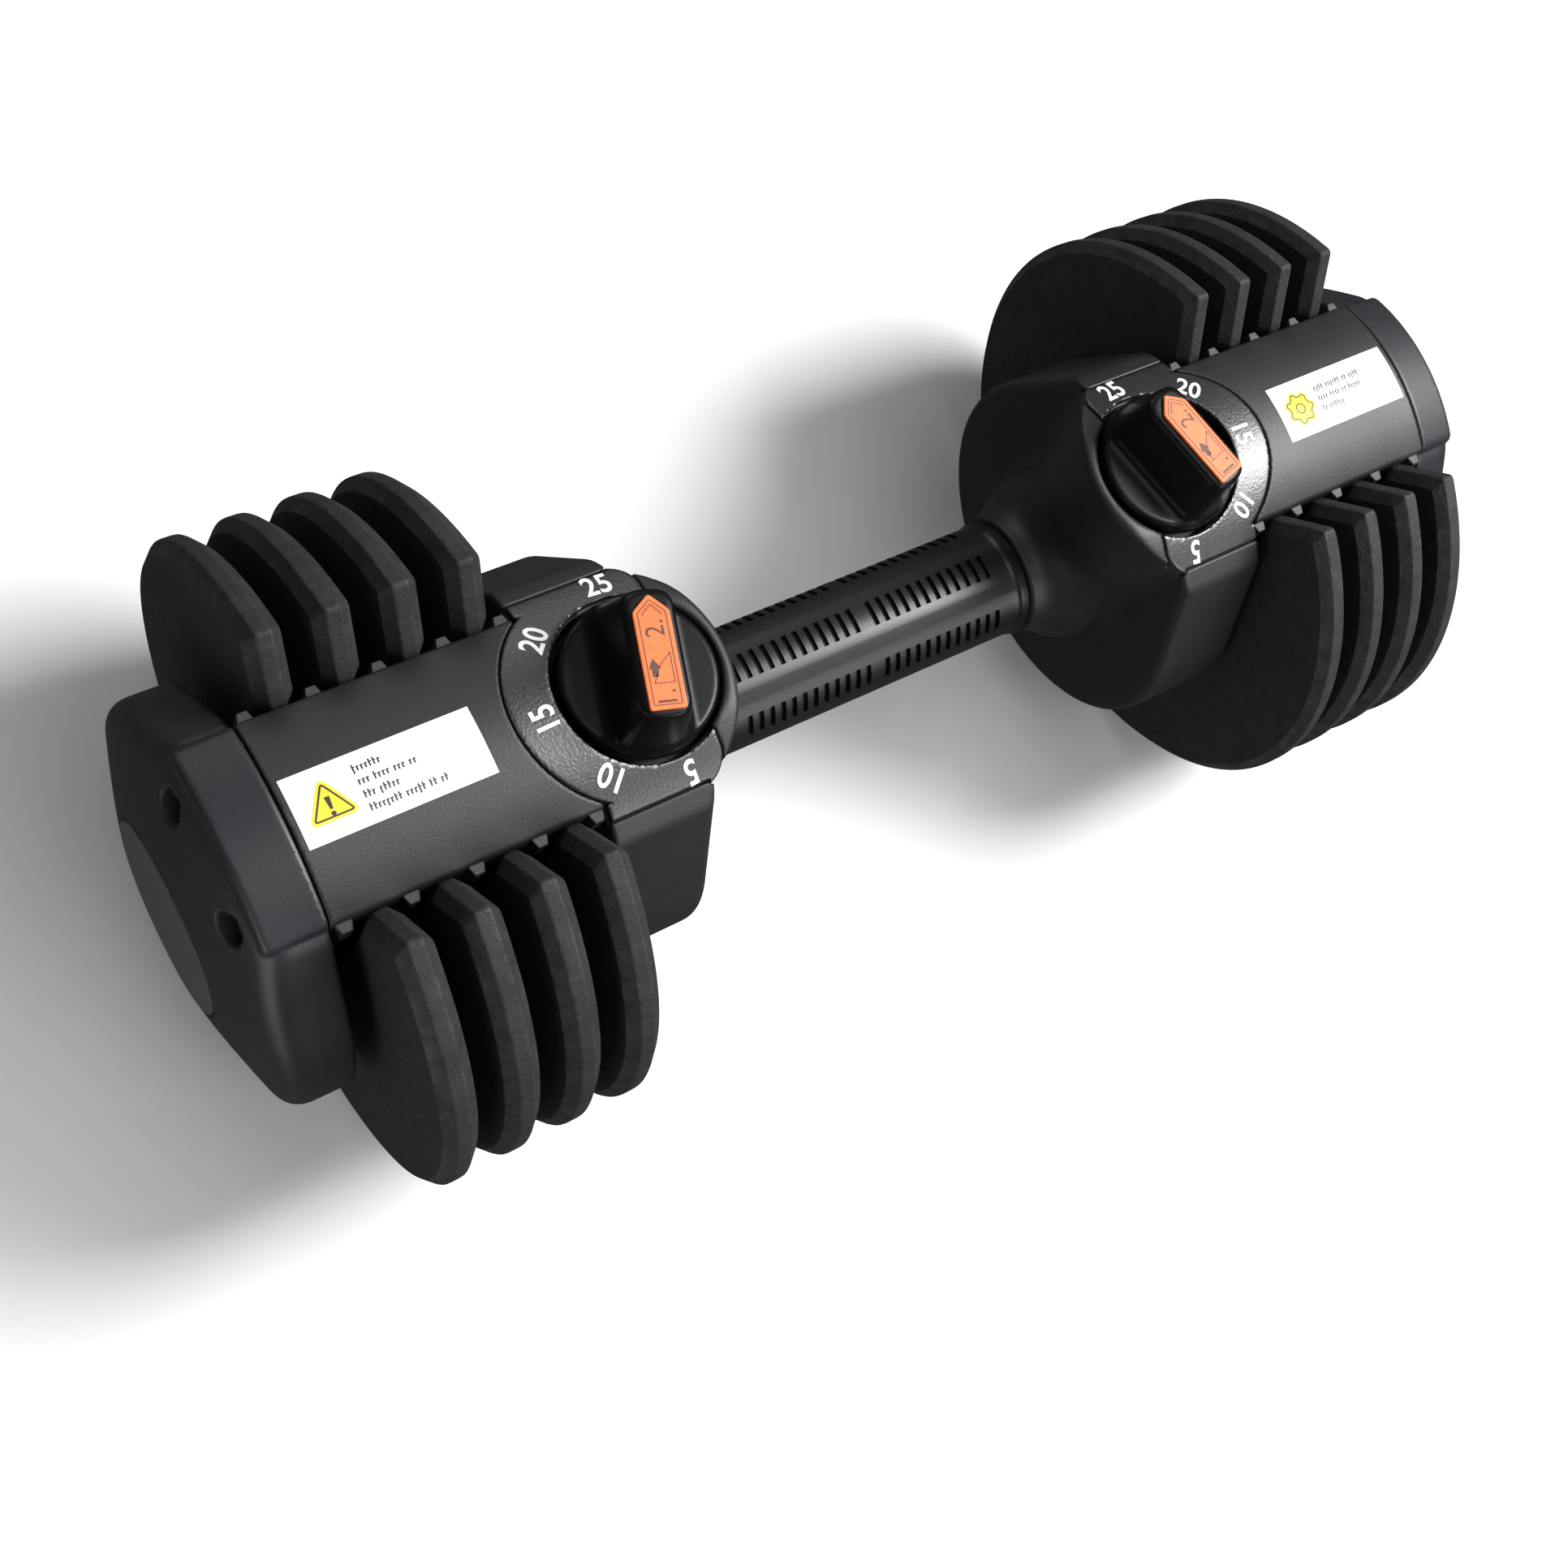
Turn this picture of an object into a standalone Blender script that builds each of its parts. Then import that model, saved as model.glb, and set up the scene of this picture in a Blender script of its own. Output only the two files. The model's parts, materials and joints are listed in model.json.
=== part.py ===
"""Adjustable dial dumbbell, 5 to 25 lb in 5 lb steps, with four cast plates on each side.

Frame: X runs along the handle, Z is up, and the plates stand on Z = 0.
The object is the same on both sides, so every piece of a side is made once, for the
right side (+X), and then mirrored to the left.
All sizes are in millimetres up to the point where a mesh is made.
"""

import math

import bmesh
import bpy
from mathutils import Matrix, Vector

MM = 0.001
GAP = 0.3                      # what touching pieces keep between their meshes

# Driving dimensions -----------------------------------------------------------------
AXIS_HEIGHT = 78.0             # handle axis above the flat that the plates stand on
GRIP_RADIUS = 16.5
GRIP_END = 52.0                # the grip sleeve ends here and the housings begin
TUBE_RADIUS = 12.7
TUBE_BORE = 9.5
ROD_RADIUS = 5.0

PLATE_COUNT = 4
PLATE_PITCH = 15.5
PLATE_THICKNESS = 8.9
PLATE_START = 105.1            # inner face of the first plate
PLATE_RADIUS = 85.0
PLATE_CHAMFER = 2.2
SLOT_HALF_WIDTH = 25.2         # the slot that the core sits in
SLOT_MOUTH_HEIGHT = 57.5       # where the slot starts to open into its lead-in
CORNER_Y = 37.0                # where the lead-in meets the rim

HOUSING_FACE = 73.6            # face of the inner housing, seen from the handle
HOUSING_END = 100.9
HOUSING_RADIUS = 51.7
HOUSING_TOP = 63.4
HOUSING_TOP_HALF_WIDTH = 29.4
WALL = 3.2

SEAM = 167.0                   # bridge cover meets end cap
CAP_FLAT = 180.0               # the end cap's side wall is straight up to here
CAP_RADIUS = 52.8
CAP_REACH = 189.5
SCREW_HEIGHT = 48.6
BLOCK_END = 181.2

CORE_HALF_WIDTH = 24.8
CROWN_HEIGHT = 66.0
CROWN_EDGE = 59.5
SKIRT_BOTTOM = 50.4

DIAL_X = 81.0
KNOB_RADIUS = 19.3
RECESS_RADIUS = 20.6
RECESS_FLOOR = 52.0
KNOB_BOTTOM = 58.0
KNOB_TOP = 65.0
RIDGE_TOP = 82.3
PANEL_TOP = 64.0
PANEL_THICKNESS = 3.0
PANEL_X = 85.1
PANEL_RADIUS = 28.4
PANEL_HALF_WIDTH = 28.2

POINTER_ANGLE = 106.0          # pointer at the 25 lb mark, from +X on the right side
STEP_ANGLE = 49.0              # between two weights on the dial

GEAR_RADIUS = 14.0             # same for both gears, so the ratio is 1
GEAR_TEETH = 16
GEAR_FACE = 3.0
TOOTH_WIDTH = 1.6
SHAFT_RADIUS = 4.0
SHAFT_HOLE = 4.4
DISC_RADIUS = 13.0
DISC_RIM = 2.3

CHARCOAL = (0.035, 0.036, 0.040, 1.0)
BLACK = (0.020, 0.020, 0.022, 1.0)
CAST = (0.045, 0.045, 0.048, 1.0)
STEEL = (0.55, 0.56, 0.58, 1.0)
GREY = (0.32, 0.32, 0.33, 1.0)
ORANGE = (1.0, 0.19, 0.045, 1.0)
NYLON = (0.75, 0.74, 0.70, 1.0)


# Helpers ----------------------------------------------------------------------------
def clear_scene():
    for obj in list(bpy.data.objects):
        bpy.data.objects.remove(obj, do_unlink=True)


def new_collection(name):
    collection = bpy.data.collections.new(name)
    bpy.context.scene.collection.children.link(collection)
    return collection


clear_scene()
PARTS = new_collection("adjustable_dumbbell")
CUTTERS = new_collection("cutters")


def material(name, colour, roughness, metallic=0.0):
    made = bpy.data.materials.new(name)
    made.use_nodes = True
    shader = made.node_tree.nodes["Principled BSDF"]
    shader.inputs["Base Color"].default_value = colour
    shader.inputs["Roughness"].default_value = roughness
    shader.inputs["Metallic"].default_value = metallic
    return made


def as_object(name, mesh, look=None):
    """A named object in the parts collection, shaded smooth with its edges sharp."""
    obj = bpy.data.objects.new(name, mesh)
    PARTS.objects.link(obj)
    mesh.materials.clear()
    if look is not None:
        colour, roughness, metallic = look
        mesh.materials.append(material(name, colour, roughness, metallic))
    mesh.shade_smooth()
    mesh.set_sharp_from_angle(angle=math.radians(32))
    return obj


def mesh_from_bmesh(bm):
    bmesh.ops.remove_doubles(bm, verts=bm.verts, dist=1e-6)
    bmesh.ops.recalc_face_normals(bm, faces=bm.faces)
    mesh = bpy.data.meshes.new("mesh")
    bm.to_mesh(mesh)
    bm.free()
    return mesh


def evaluated_mesh(obj):
    """The object's mesh with its modifiers applied, in world space."""
    bpy.context.view_layer.update()
    depsgraph = bpy.context.evaluated_depsgraph_get()
    mesh = bpy.data.meshes.new_from_object(obj.evaluated_get(depsgraph))
    mesh.transform(obj.matrix_world)
    return mesh


def box(name, low, high, look=None):
    """An axis-aligned box between two corners."""
    bm = bmesh.new()
    bmesh.ops.create_cube(bm, size=1.0)
    low, high = Vector(low) * MM, Vector(high) * MM
    size = high - low
    bmesh.ops.scale(bm, vec=size, verts=bm.verts)
    bmesh.ops.translate(bm, vec=(low + high) / 2, verts=bm.verts)
    return as_object(name, mesh_from_bmesh(bm), look)


AXIS_TURN = {
    "X": Matrix.Rotation(math.radians(90), 4, "Y"),
    "Z": Matrix.Identity(4),
}


def cylinder(name, radius, start, end, axis, centre, sides, look=None):
    """A cylinder along X or Z; centre gives its place across that axis."""
    bm = bmesh.new()
    bmesh.ops.create_cone(bm, cap_ends=True, segments=sides, radius1=radius * MM,
                          radius2=radius * MM, depth=(end - start) * MM)
    bmesh.ops.transform(bm, matrix=AXIS_TURN[axis], verts=bm.verts)
    middle = (start + end) / 2
    if axis == "X":
        place = Vector((middle, centre[0], centre[1]))
    else:
        place = Vector((centre[0], centre[1], middle))
    bmesh.ops.translate(bm, vec=place * MM, verts=bm.verts)
    return as_object(name, mesh_from_bmesh(bm), look)


OUTLINE_TURN = {
    "X": Matrix(((0, 0, 1, 0), (1, 0, 0, 0), (0, 1, 0, 0), (0, 0, 0, 1))),
    "Z": Matrix.Identity(4),
}


def prism(name, outlines, start, end, axis, look=None):
    """Flat closed outlines, the later ones holes, extruded along X or Z.

    An outline for X holds (y, z) points, and one for Z holds (x, y) points.
    """
    curve = bpy.data.curves.new(name, "CURVE")
    curve.dimensions = "2D"
    curve.fill_mode = "BOTH"
    curve.extrude = (end - start) * MM / 2
    for outline in outlines:
        spline = curve.splines.new("POLY")
        spline.points.add(len(outline) - 1)
        for point, (u, v) in zip(spline.points, outline):
            point.co = (u * MM, v * MM, 0.0, 1.0)
        spline.use_cyclic_u = True
    sketch = bpy.data.objects.new(name + "_sketch", curve)
    PARTS.objects.link(sketch)
    middle = (start + end) / 2 * MM
    shift = Vector((middle, 0, 0)) if axis == "X" else Vector((0, 0, middle))
    sketch.matrix_world = Matrix.Translation(shift) @ OUTLINE_TURN[axis]
    mesh = evaluated_mesh(sketch)
    bpy.data.objects.remove(sketch)
    bm = bmesh.new()
    bm.from_mesh(mesh)
    bpy.data.meshes.remove(mesh)
    return as_object(name, mesh_from_bmesh(bm), look)


def turned(name, profile, axis, sides, look=None):
    """A profile of (radius, height) points, top to bottom, turned about X or Z."""
    mesh = bpy.data.meshes.new(name)
    points = [(radius * MM, 0.0, height * MM) for radius, height in profile]
    mesh.from_pydata(points, [(i, i + 1) for i in range(len(points) - 1)], [])
    wire = bpy.data.objects.new(name + "_profile", mesh)
    PARTS.objects.link(wire)
    screw = wire.modifiers.new("Screw", "SCREW")
    screw.steps = sides
    screw.render_steps = sides
    screw.use_merge_vertices = True
    screw.merge_threshold = 0.00001
    if axis == "X":
        wire.matrix_world = AXIS_TURN["X"]
    solid = evaluated_mesh(wire)
    bpy.data.objects.remove(wire)
    bm = bmesh.new()
    bm.from_mesh(solid)
    bpy.data.meshes.remove(solid)
    return as_object(name, mesh_from_bmesh(bm), look)


def loft(name, rings, look=None):
    """A skin over rings of equal point counts, closed by a flat face at each end."""
    bm = bmesh.new()
    rows = [[bm.verts.new(Vector(point) * MM) for point in ring] for ring in rings]
    count = len(rings[0])
    for row, following in zip(rows, rows[1:]):
        for i in range(count):
            j = (i + 1) % count
            bm.faces.new((row[i], row[j], following[j], following[i]))
    bm.faces.new(rows[0])
    bm.faces.new(rows[-1])
    return as_object(name, mesh_from_bmesh(bm), look)


def combine(obj, other, operation):
    """Join or cut with another object, which becomes a hidden cutter."""
    PARTS.objects.unlink(other)
    CUTTERS.objects.link(other)
    other.hide_render = True
    other.display_type = "WIRE"
    boolean = obj.modifiers.new(operation.title(), "BOOLEAN")
    boolean.operation = operation
    boolean.solver = "EXACT"
    boolean.object = other


def cut(obj, *others):
    for other in others:
        combine(obj, other, "DIFFERENCE")


def join(obj, *others):
    for other in others:
        combine(obj, other, "UNION")


def merged(name, pieces):
    """Several separate solids in one mesh, for use as a single cutter."""
    bm = bmesh.new()
    for piece in pieces:
        bm.from_mesh(piece.data)
        bpy.data.objects.remove(piece)
    mesh = bpy.data.meshes.new(name)
    bm.to_mesh(mesh)
    bm.free()
    return as_object(name, mesh)


def arc(centre, radius, first, last, steps):
    """Points along an arc, angles in degrees."""
    angles = [math.radians(first + (last - first) * i / steps) for i in range(steps + 1)]
    return [(centre[0] + radius * math.cos(a), centre[1] + radius * math.sin(a)) for a in angles]


def circle(radius, sides, centre=(0.0, 0.0)):
    return arc(centre, radius, 0, 360, sides)[:-1]


def shoulder_outline(radius, corner_y, corner_z, steps=17):
    """A round body about the handle axis whose flanks rise, tangent, to a flat top."""
    reach = math.hypot(corner_y, corner_z)
    slope = math.degrees(math.atan2(corner_z, corner_y) - math.acos(radius / reach))
    flank = arc((0, 0), radius, slope, -180 - slope, steps)
    return flank + [(-corner_y, corner_z), (corner_y, corner_z)]


def crown_arc(half_width, edge, top, steps):
    """The crowned top of the bridge, from the near edge over the middle to the far one."""
    radius = (half_width ** 2 + (top - edge) ** 2) / (2 * (top - edge))
    lean = math.degrees(math.asin(half_width / radius))
    return arc((0, top - radius), radius, 90 + lean, 90 - lean, steps)


def plate_x(index):
    """Inner face of a plate, counted from 0 next to the handle."""
    return PLATE_START + PLATE_PITCH * index


# Handle -----------------------------------------------------------------------------
def make_handle():
    sleeve = turned("grip_sleeve", [
        (TUBE_RADIUS + GAP, GRIP_END - GAP), (GRIP_RADIUS + 0.6, GRIP_END - GAP),
        (GRIP_RADIUS + 0.6, GRIP_END - 3), (GRIP_RADIUS, GRIP_END - 4),
        (GRIP_RADIUS, -GRIP_END + 4), (GRIP_RADIUS + 0.6, -GRIP_END + 3),
        (GRIP_RADIUS + 0.6, -GRIP_END + GAP), (TUBE_RADIUS + GAP, -GRIP_END + GAP),
        (TUBE_RADIUS + GAP, GRIP_END - GAP)], "X", 24, (BLACK, 0.45, 0.0))
    tube_end = 63.7
    tube = turned("handle_tube", [
        (TUBE_BORE, tube_end), (TUBE_RADIUS, tube_end), (TUBE_RADIUS, -tube_end),
        (TUBE_BORE, -tube_end), (TUBE_BORE, tube_end)], "X", 16, (STEEL, 0.35, 1.0))
    rod = cylinder("tie_rod", ROD_RADIUS, -87.5, 87.5, "X", (0, 0), 12, (STEEL, 0.35, 1.0))
    return [sleeve, tube, rod]


# Housings of one side ---------------------------------------------------------------
def head_outline(height, front, half_width, back=76.0):
    """Plan outline of the dial head: a blunt rounded front and straight flanks."""
    steps = 10
    power = 1.6
    points = []
    for i in range(steps + 1):
        turn = math.radians(90 * i / steps)
        along = math.sin(turn) ** (2 / power)
        across = math.cos(turn) ** (2 / power)
        points.append((back - (back - front) * along, half_width * across, height))
    mirrored = [(x, -y, z) for x, y, z in reversed(points[:-1])]
    return points + mirrored


def inner_housing():
    top = HOUSING_TOP_HALF_WIDTH
    body_outline = shoulder_outline(HOUSING_RADIUS, top + 2, HOUSING_TOP - 4)
    body_outline[-2:] = [(-top - 2, HOUSING_TOP - 4), (-top, HOUSING_TOP),
                         (top, HOUSING_TOP), (top + 2, HOUSING_TOP - 4)]
    housing = prism("right_inner_housing", [body_outline], HOUSING_FACE, HOUSING_END, "X",
                    (CHARCOAL, 0.55, 0.0))
    head = loft("head", [
        head_outline(HOUSING_TOP - 0.1, 58.2, top - 0.3),
        head_outline(HOUSING_TOP - 4, 57.0, top + 1.7),
        head_outline(42, 58.2, 28.8), head_outline(24, 61.5, 26.8), head_outline(0, 66, 24.4),
        head_outline(-16, 71, 19.0)])
    neck = turned("neck", [
        (10, 76), (36, 76), (31, 72), (26.5, 67), (22.5, 61), (19.6, 56),
        (18.2, GRIP_END), (10, GRIP_END), (10, 76)], "X", 24)
    core = cylinder("neck_core", 12, GRIP_END + 0.1, 75.9, "X", (0, 0), 16)
    join(housing, head, neck, core)
    inside = shoulder_outline(HOUSING_RADIUS - WALL, 27, 49, 20)
    cavity = prism("housing_cavity", [inside], HOUSING_FACE + WALL, HOUSING_END + 1, "X")
    dial = (DIAL_X, 0)
    recess = cylinder("dial_recess", RECESS_RADIUS, RECESS_FLOOR, 80, "Z", dial, 24)
    bore = cylinder("hub_bore", 9, 48, 60, "Z", dial, 16)
    shaft_well = cylinder("shaft_well", 16.3, 12.6, 49, "Z", dial, 16)
    pocket = prism("panel_pocket", [panel_outline(2 * GAP)], PANEL_TOP - PANEL_THICKNESS - GAP,
                   80, "Z")
    socket = cylinder("tube_socket", TUBE_RADIUS + GAP, 50, 64, "X", (0, 0), 16)
    rod_hole = cylinder("rod_hole", ROD_RADIUS + GAP, 60, 80, "X", (0, 0), 12)
    cut(housing, cavity, recess, bore, shaft_well, pocket, socket, rod_hole)
    return housing


def panel_outline(offset):
    """The dial panel seen from above; a positive offset makes the pocket for it."""
    outer = PANEL_RADIUS + offset
    half_width = PANEL_HALF_WIDTH + offset
    inner = RECESS_RADIUS + 0.8 - offset
    step_x = HOUSING_END - 0.6 + offset
    reach = math.degrees(math.asin(24.6 / outer))
    edge = arc((PANEL_X, 0), outer, -reach, reach, 16)
    flank = [(step_x, 24.6 + offset), (step_x, half_width), (74.5, half_width)]
    corner = arc((76.5, 22.5), 6.0 + offset, 108, 190, 4)
    ring_end = 122 + 4 * offset
    ring = arc((DIAL_X, 0), inner, ring_end, -ring_end, 26)
    far = flank + corner
    near = [(x, -y) for x, y in reversed(far)]
    return edge + far + ring + near


def dial_panel():
    return prism("right_dial_panel", [panel_outline(0)], PANEL_TOP - PANEL_THICKNESS,
                 PANEL_TOP, "Z", (CHARCOAL, 0.6, 0.0))


def bulkhead():
    outline = shoulder_outline(HOUSING_RADIUS - WALL - GAP, 26.6, 48.6, 20)
    return prism("right_bulkhead", [outline, circle(SHAFT_HOLE, 12)], 97.4, HOUSING_END,
                 "X", (STEEL, 0.45, 1.0))


def gear_bracket():
    outline = arc((DIAL_X, 0), 15.9, 90, 270, 12) + [(97.1, -15.9), (97.1, 15.9)]
    return prism("right_gear_bracket", [outline, circle(SHAFT_HOLE, 12, (DIAL_X, 0))],
                 21, 26, "Z", (STEEL, 0.45, 1.0))


def lock_ring():
    """The fixed half of the dial lock, with its teeth facing down."""
    ring = prism("right_lock_ring", [circle(15.0, 16, (DIAL_X, 0)), circle(9.0, 16, (DIAL_X, 0))],
                 45.5, 48.7, "Z", (NYLON, 0.5, 0.0))
    cut(ring, tooth_gaps("lock_ring_gaps", 12.4, 4.2, 45.2, 46.5, 8))
    return ring


def tooth_gaps(name, radius, reach, low, high, count):
    """Radial slots round the dial axis."""
    slots = []
    for i in range(count):
        slot = box("slot", (-reach, -1.3, low), (reach, 1.3, high))
        turn = Matrix.Rotation(2 * math.pi * (i + 0.5) / count, 4, "Z")
        centre = Matrix.Translation(Vector((DIAL_X, 0, 0)) * MM)
        out = Matrix.Translation(Vector((radius, 0, 0)) * MM)
        slot.data.transform(centre @ turn @ out)
        slots.append(slot)
    return merged(name, slots)


def channel():
    """The trough between the housings that carries the selector shaft."""
    outer, inner, top = 24.0, 21.8, SKIRT_BOTTOM - GAP
    outline = arc((0, 0), outer, 180, 360, 18) + [(outer, top), (inner, top)]
    outline += arc((0, 0), inner, 360, 180, 18) + [(-inner, top), (-outer, top)]
    trough = prism("right_channel", [outline], HOUSING_END + GAP, SEAM, "X",
                   (STEEL, 0.5, 1.0))
    windows = []
    for i in range(PLATE_COUNT):
        start = plate_x(i) - 0.6
        windows.append(box("window", (start, -5.5, -30), (start + 13.2, 5.5, -10)))
    cut(trough, merged("channel_windows", windows))
    return trough


def bridge_cover():
    """The crowned cover over the plates, with a finger in every gap between them."""
    wall = 2.4
    outline = [(-CORE_HALF_WIDTH, SKIRT_BOTTOM)]
    outline += crown_arc(CORE_HALF_WIDTH, CROWN_EDGE, CROWN_HEIGHT, 12)
    outline += [(CORE_HALF_WIDTH, SKIRT_BOTTOM), (CORE_HALF_WIDTH - wall, SKIRT_BOTTOM)]
    under = crown_arc(CORE_HALF_WIDTH - wall, CROWN_EDGE - wall + 0.6, CROWN_HEIGHT - wall, 12)
    outline += under[::-1]
    outline += [(-CORE_HALF_WIDTH + wall, SKIRT_BOTTOM)]
    cover = prism("right_bridge_cover", [outline], HOUSING_END + GAP, SEAM - GAP, "X",
                  (CHARCOAL, 0.5, 0.0))
    spots = [103.0]
    for i in range(PLATE_COUNT - 1):
        spots.append((plate_x(i) + PLATE_THICKNESS + plate_x(i + 1)) / 2)
    spots.append(163.8)
    fingers = []
    for x in spots:
        for side in (-1, 1):
            low, high = sorted((side * 24.0, side * 27.4))
            fingers.append(box("finger", (x - 1.15, low, SKIRT_BOTTOM), (x + 1.15, high, 58.8)))
    join(cover, merged("cover_fingers", fingers))
    clearance = cylinder("panel_clearance", PANEL_RADIUS + GAP, 40, 80, "Z", (PANEL_X, 0), 48)
    cut(cover, clearance)
    return cover


def end_plate():
    outline = shoulder_outline(CAP_RADIUS - WALL - GAP, 22.0, 52.0, 20)
    holes = [circle(SHAFT_HOLE, 12)] + [circle(2.3, 8, (side * 14.9, SCREW_HEIGHT)) for side in (-1, 1)]
    return prism("right_end_plate", [outline] + holes, SEAM + GAP, SEAM + 3.5, "X",
                 (STEEL, 0.45, 1.0))


def end_cap():
    outline = shoulder_outline(CAP_RADIUS, 25.2, 57.0)
    rings = []
    for scale, x in ((1.0, SEAM), (1.0, CAP_FLAT), (0.975, 183.6), (0.92, 185.8),
                     (0.78, 187.9), (0.5, 189.2), (0.2, CAP_REACH)):
        rings.append([(x, y * scale, z * scale) for y, z in outline])
    cap = loft("right_end_cap", rings, (CHARCOAL, 0.55, 0.0))
    block_outline = crown_arc(CORE_HALF_WIDTH, CROWN_EDGE - 0.5, CROWN_HEIGHT - 0.5, 12)
    block_outline += [(CORE_HALF_WIDTH, 50), (-CORE_HALF_WIDTH, 50)]
    block = prism("cap_block", [block_outline], SEAM, BLOCK_END, "X")
    join(cap, block)
    inside = shoulder_outline(CAP_RADIUS - WALL, 22.4, 52.4, 20)
    cut(cap, prism("cap_cavity", [inside], SEAM - 1, 181.0, "X"))
    for side in (-1, 1):
        centre = (side * 14.9, SCREW_HEIGHT)
        join(cap, cylinder("screw_boss", 6.2, 171.0, 183.5, "X", centre, 12))
    for side in (-1, 1):
        centre = (side * 14.9, SCREW_HEIGHT)
        cut(cap, cylinder("screw_counterbore", 4.3, 175.7, 195, "X", centre, 12),
            cylinder("screw_hole", 2.3, 165, 180, "X", centre, 8))
    cut(cap, cylinder("badge_seat", 25.3, 188.0, 195, "X", (0, 6.5), 24))
    return cap


def end_badge():
    return cylinder("right_end_badge", 24.9, 188.3, 189.8, "X", (0, 6.5), 24,
                    (GREY, 0.4, 0.3))


def cap_screw(name, side):
    screw = cylinder(name, 3.8, 176.0, 178.6, "X", (side * 14.9, SCREW_HEIGHT), 12,
                     (STEEL, 0.35, 1.0))
    join(screw, cylinder(name + "_shank", 1.9, 168.0, 176.2, "X", (side * 14.9, SCREW_HEIGHT), 8))
    return screw


def tie_nut():
    return prism("right_tie_nut", [circle(9.8, 6), circle(ROD_RADIUS + GAP, 12)],
                 77.2, 85.0, "X", (STEEL, 0.35, 1.0))


# Weight plates ----------------------------------------------------------------------
def weight_plate():
    """The first plate: a cast disc, slotted from the top, with a hooked lug on the slot's floor."""
    start = plate_x(0)
    end = start + PLATE_THICKNESS
    edge = PLATE_RADIUS - PLATE_CHAMFER
    middle = 12.0              # the slot takes the rest of the disc's middle away
    plate = turned("right_plate_1", [
        (middle, end), (edge, end), (PLATE_RADIUS, end - PLATE_CHAMFER),
        (PLATE_RADIUS, start + PLATE_CHAMFER), (edge, start), (middle, start),
        (middle, end)], "X", 44, (CAST, 0.8, 0.3))
    corner_z = math.sqrt(PLATE_RADIUS ** 2 - CORNER_Y ** 2)
    rise = (corner_z - SLOT_MOUTH_HEIGHT) / (CORNER_Y - SLOT_HALF_WIDTH)
    flare = [(SLOT_HALF_WIDTH, SLOT_MOUTH_HEIGHT),
             (CORNER_Y + 8, corner_z + 8 * rise)]
    slot = arc((0, 0), SLOT_HALF_WIDTH, -180, 0, 15) + flare
    slot += [(-y, z) for y, z in reversed(flare)]
    cut(plate, prism("plate_slot", [slot], start - 5, end + 5, "X"))
    cut(plate, box("plate_foot", (start - 5, -60, -100), (end + 5, 60, -AXIS_HEIGHT)))
    stem = box("plate_lug", (start + 0.2, -4, -30), (end - 0.2, 4, -6))
    nose = box("plate_nose", (end - 1, -3, -9.8), (end + 3.5, 3, -6))
    join(plate, stem, nose)
    return plate


def copied_along(obj, name, distance):
    """A finished piece again, further out along the handle."""
    copy = bpy.data.objects.new(name, obj.data.copy())
    copy.data.name = name
    copy.data.materials[0] = obj.data.materials[0].copy()
    copy.data.transform(Matrix.Translation(Vector((distance * MM, 0, 0))))
    PARTS.objects.link(copy)
    return copy


# Dial and selector ------------------------------------------------------------------
def pointer_turn():
    """Turns a shape drawn pointing along +X to the pointer's direction."""
    centre = Matrix.Translation(Vector((DIAL_X, 0, 0)) * MM)
    return centre @ Matrix.Rotation(math.radians(POINTER_ANGLE), 4, "Z")


def dial_knob():
    dial = (DIAL_X, 0)
    knob = cylinder("right_dial_knob", KNOB_RADIUS, KNOB_BOTTOM, KNOB_TOP, "Z", dial, 28,
                    (BLACK, 0.4, 0.0))
    low, high = KNOB_TOP - 3, RIDGE_TOP
    rings = []
    for z, length, width in ((low, 18.0, 9.5), (high - 2, 17.2, 7.0), (high, 16.0, 6.0)):
        corners = arc((length - 4, width - 4), 4, 90, 0, 3)
        quarter = [(x, y, z) for x, y in corners]
        front = quarter + [(x, -y, z) for x, y, z in reversed(quarter)]
        rings.append(front + [(-x, -y, z) for x, y, z in front])
    ridge = loft("knob_ridge", rings)
    ridge.data.transform(pointer_turn())
    hub = cylinder("knob_hub", 8.0, 45.2, KNOB_BOTTOM + 1, "Z", dial, 12)
    join(knob, ridge, hub)
    socket = box("knob_socket", (DIAL_X - 3.1, -3.1, 44), (DIAL_X + 3.1, 3.1, 59.5))
    cut(knob, socket)
    return knob


def dial_pointer():
    """The coloured insert on the knob, pointed at the end that shows the weight."""
    outline = [(-14, -4.4), (9.8, -4.4), (14, 0), (9.8, 4.4), (-14, 4.4)]
    insert = prism("right_dial_pointer", [outline], RIDGE_TOP + GAP, RIDGE_TOP + 1.1, "Z",
                   (ORANGE, 0.4, 0.0))
    insert.data.transform(pointer_turn())
    return insert


def lock_plate():
    """The turning half of the dial lock, held on the knob's hub, teeth facing up."""
    plate = prism("right_lock_plate", [circle(14.2, 16, (DIAL_X, 0)),
                                       circle(4.6, 12, (DIAL_X, 0))],
                  41.9, 44.9, "Z", (NYLON, 0.5, 0.0))
    cut(plate, tooth_gaps("lock_plate_gaps", 12.0, 3.4, 43.9, 45.6, 8))
    return plate


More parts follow.
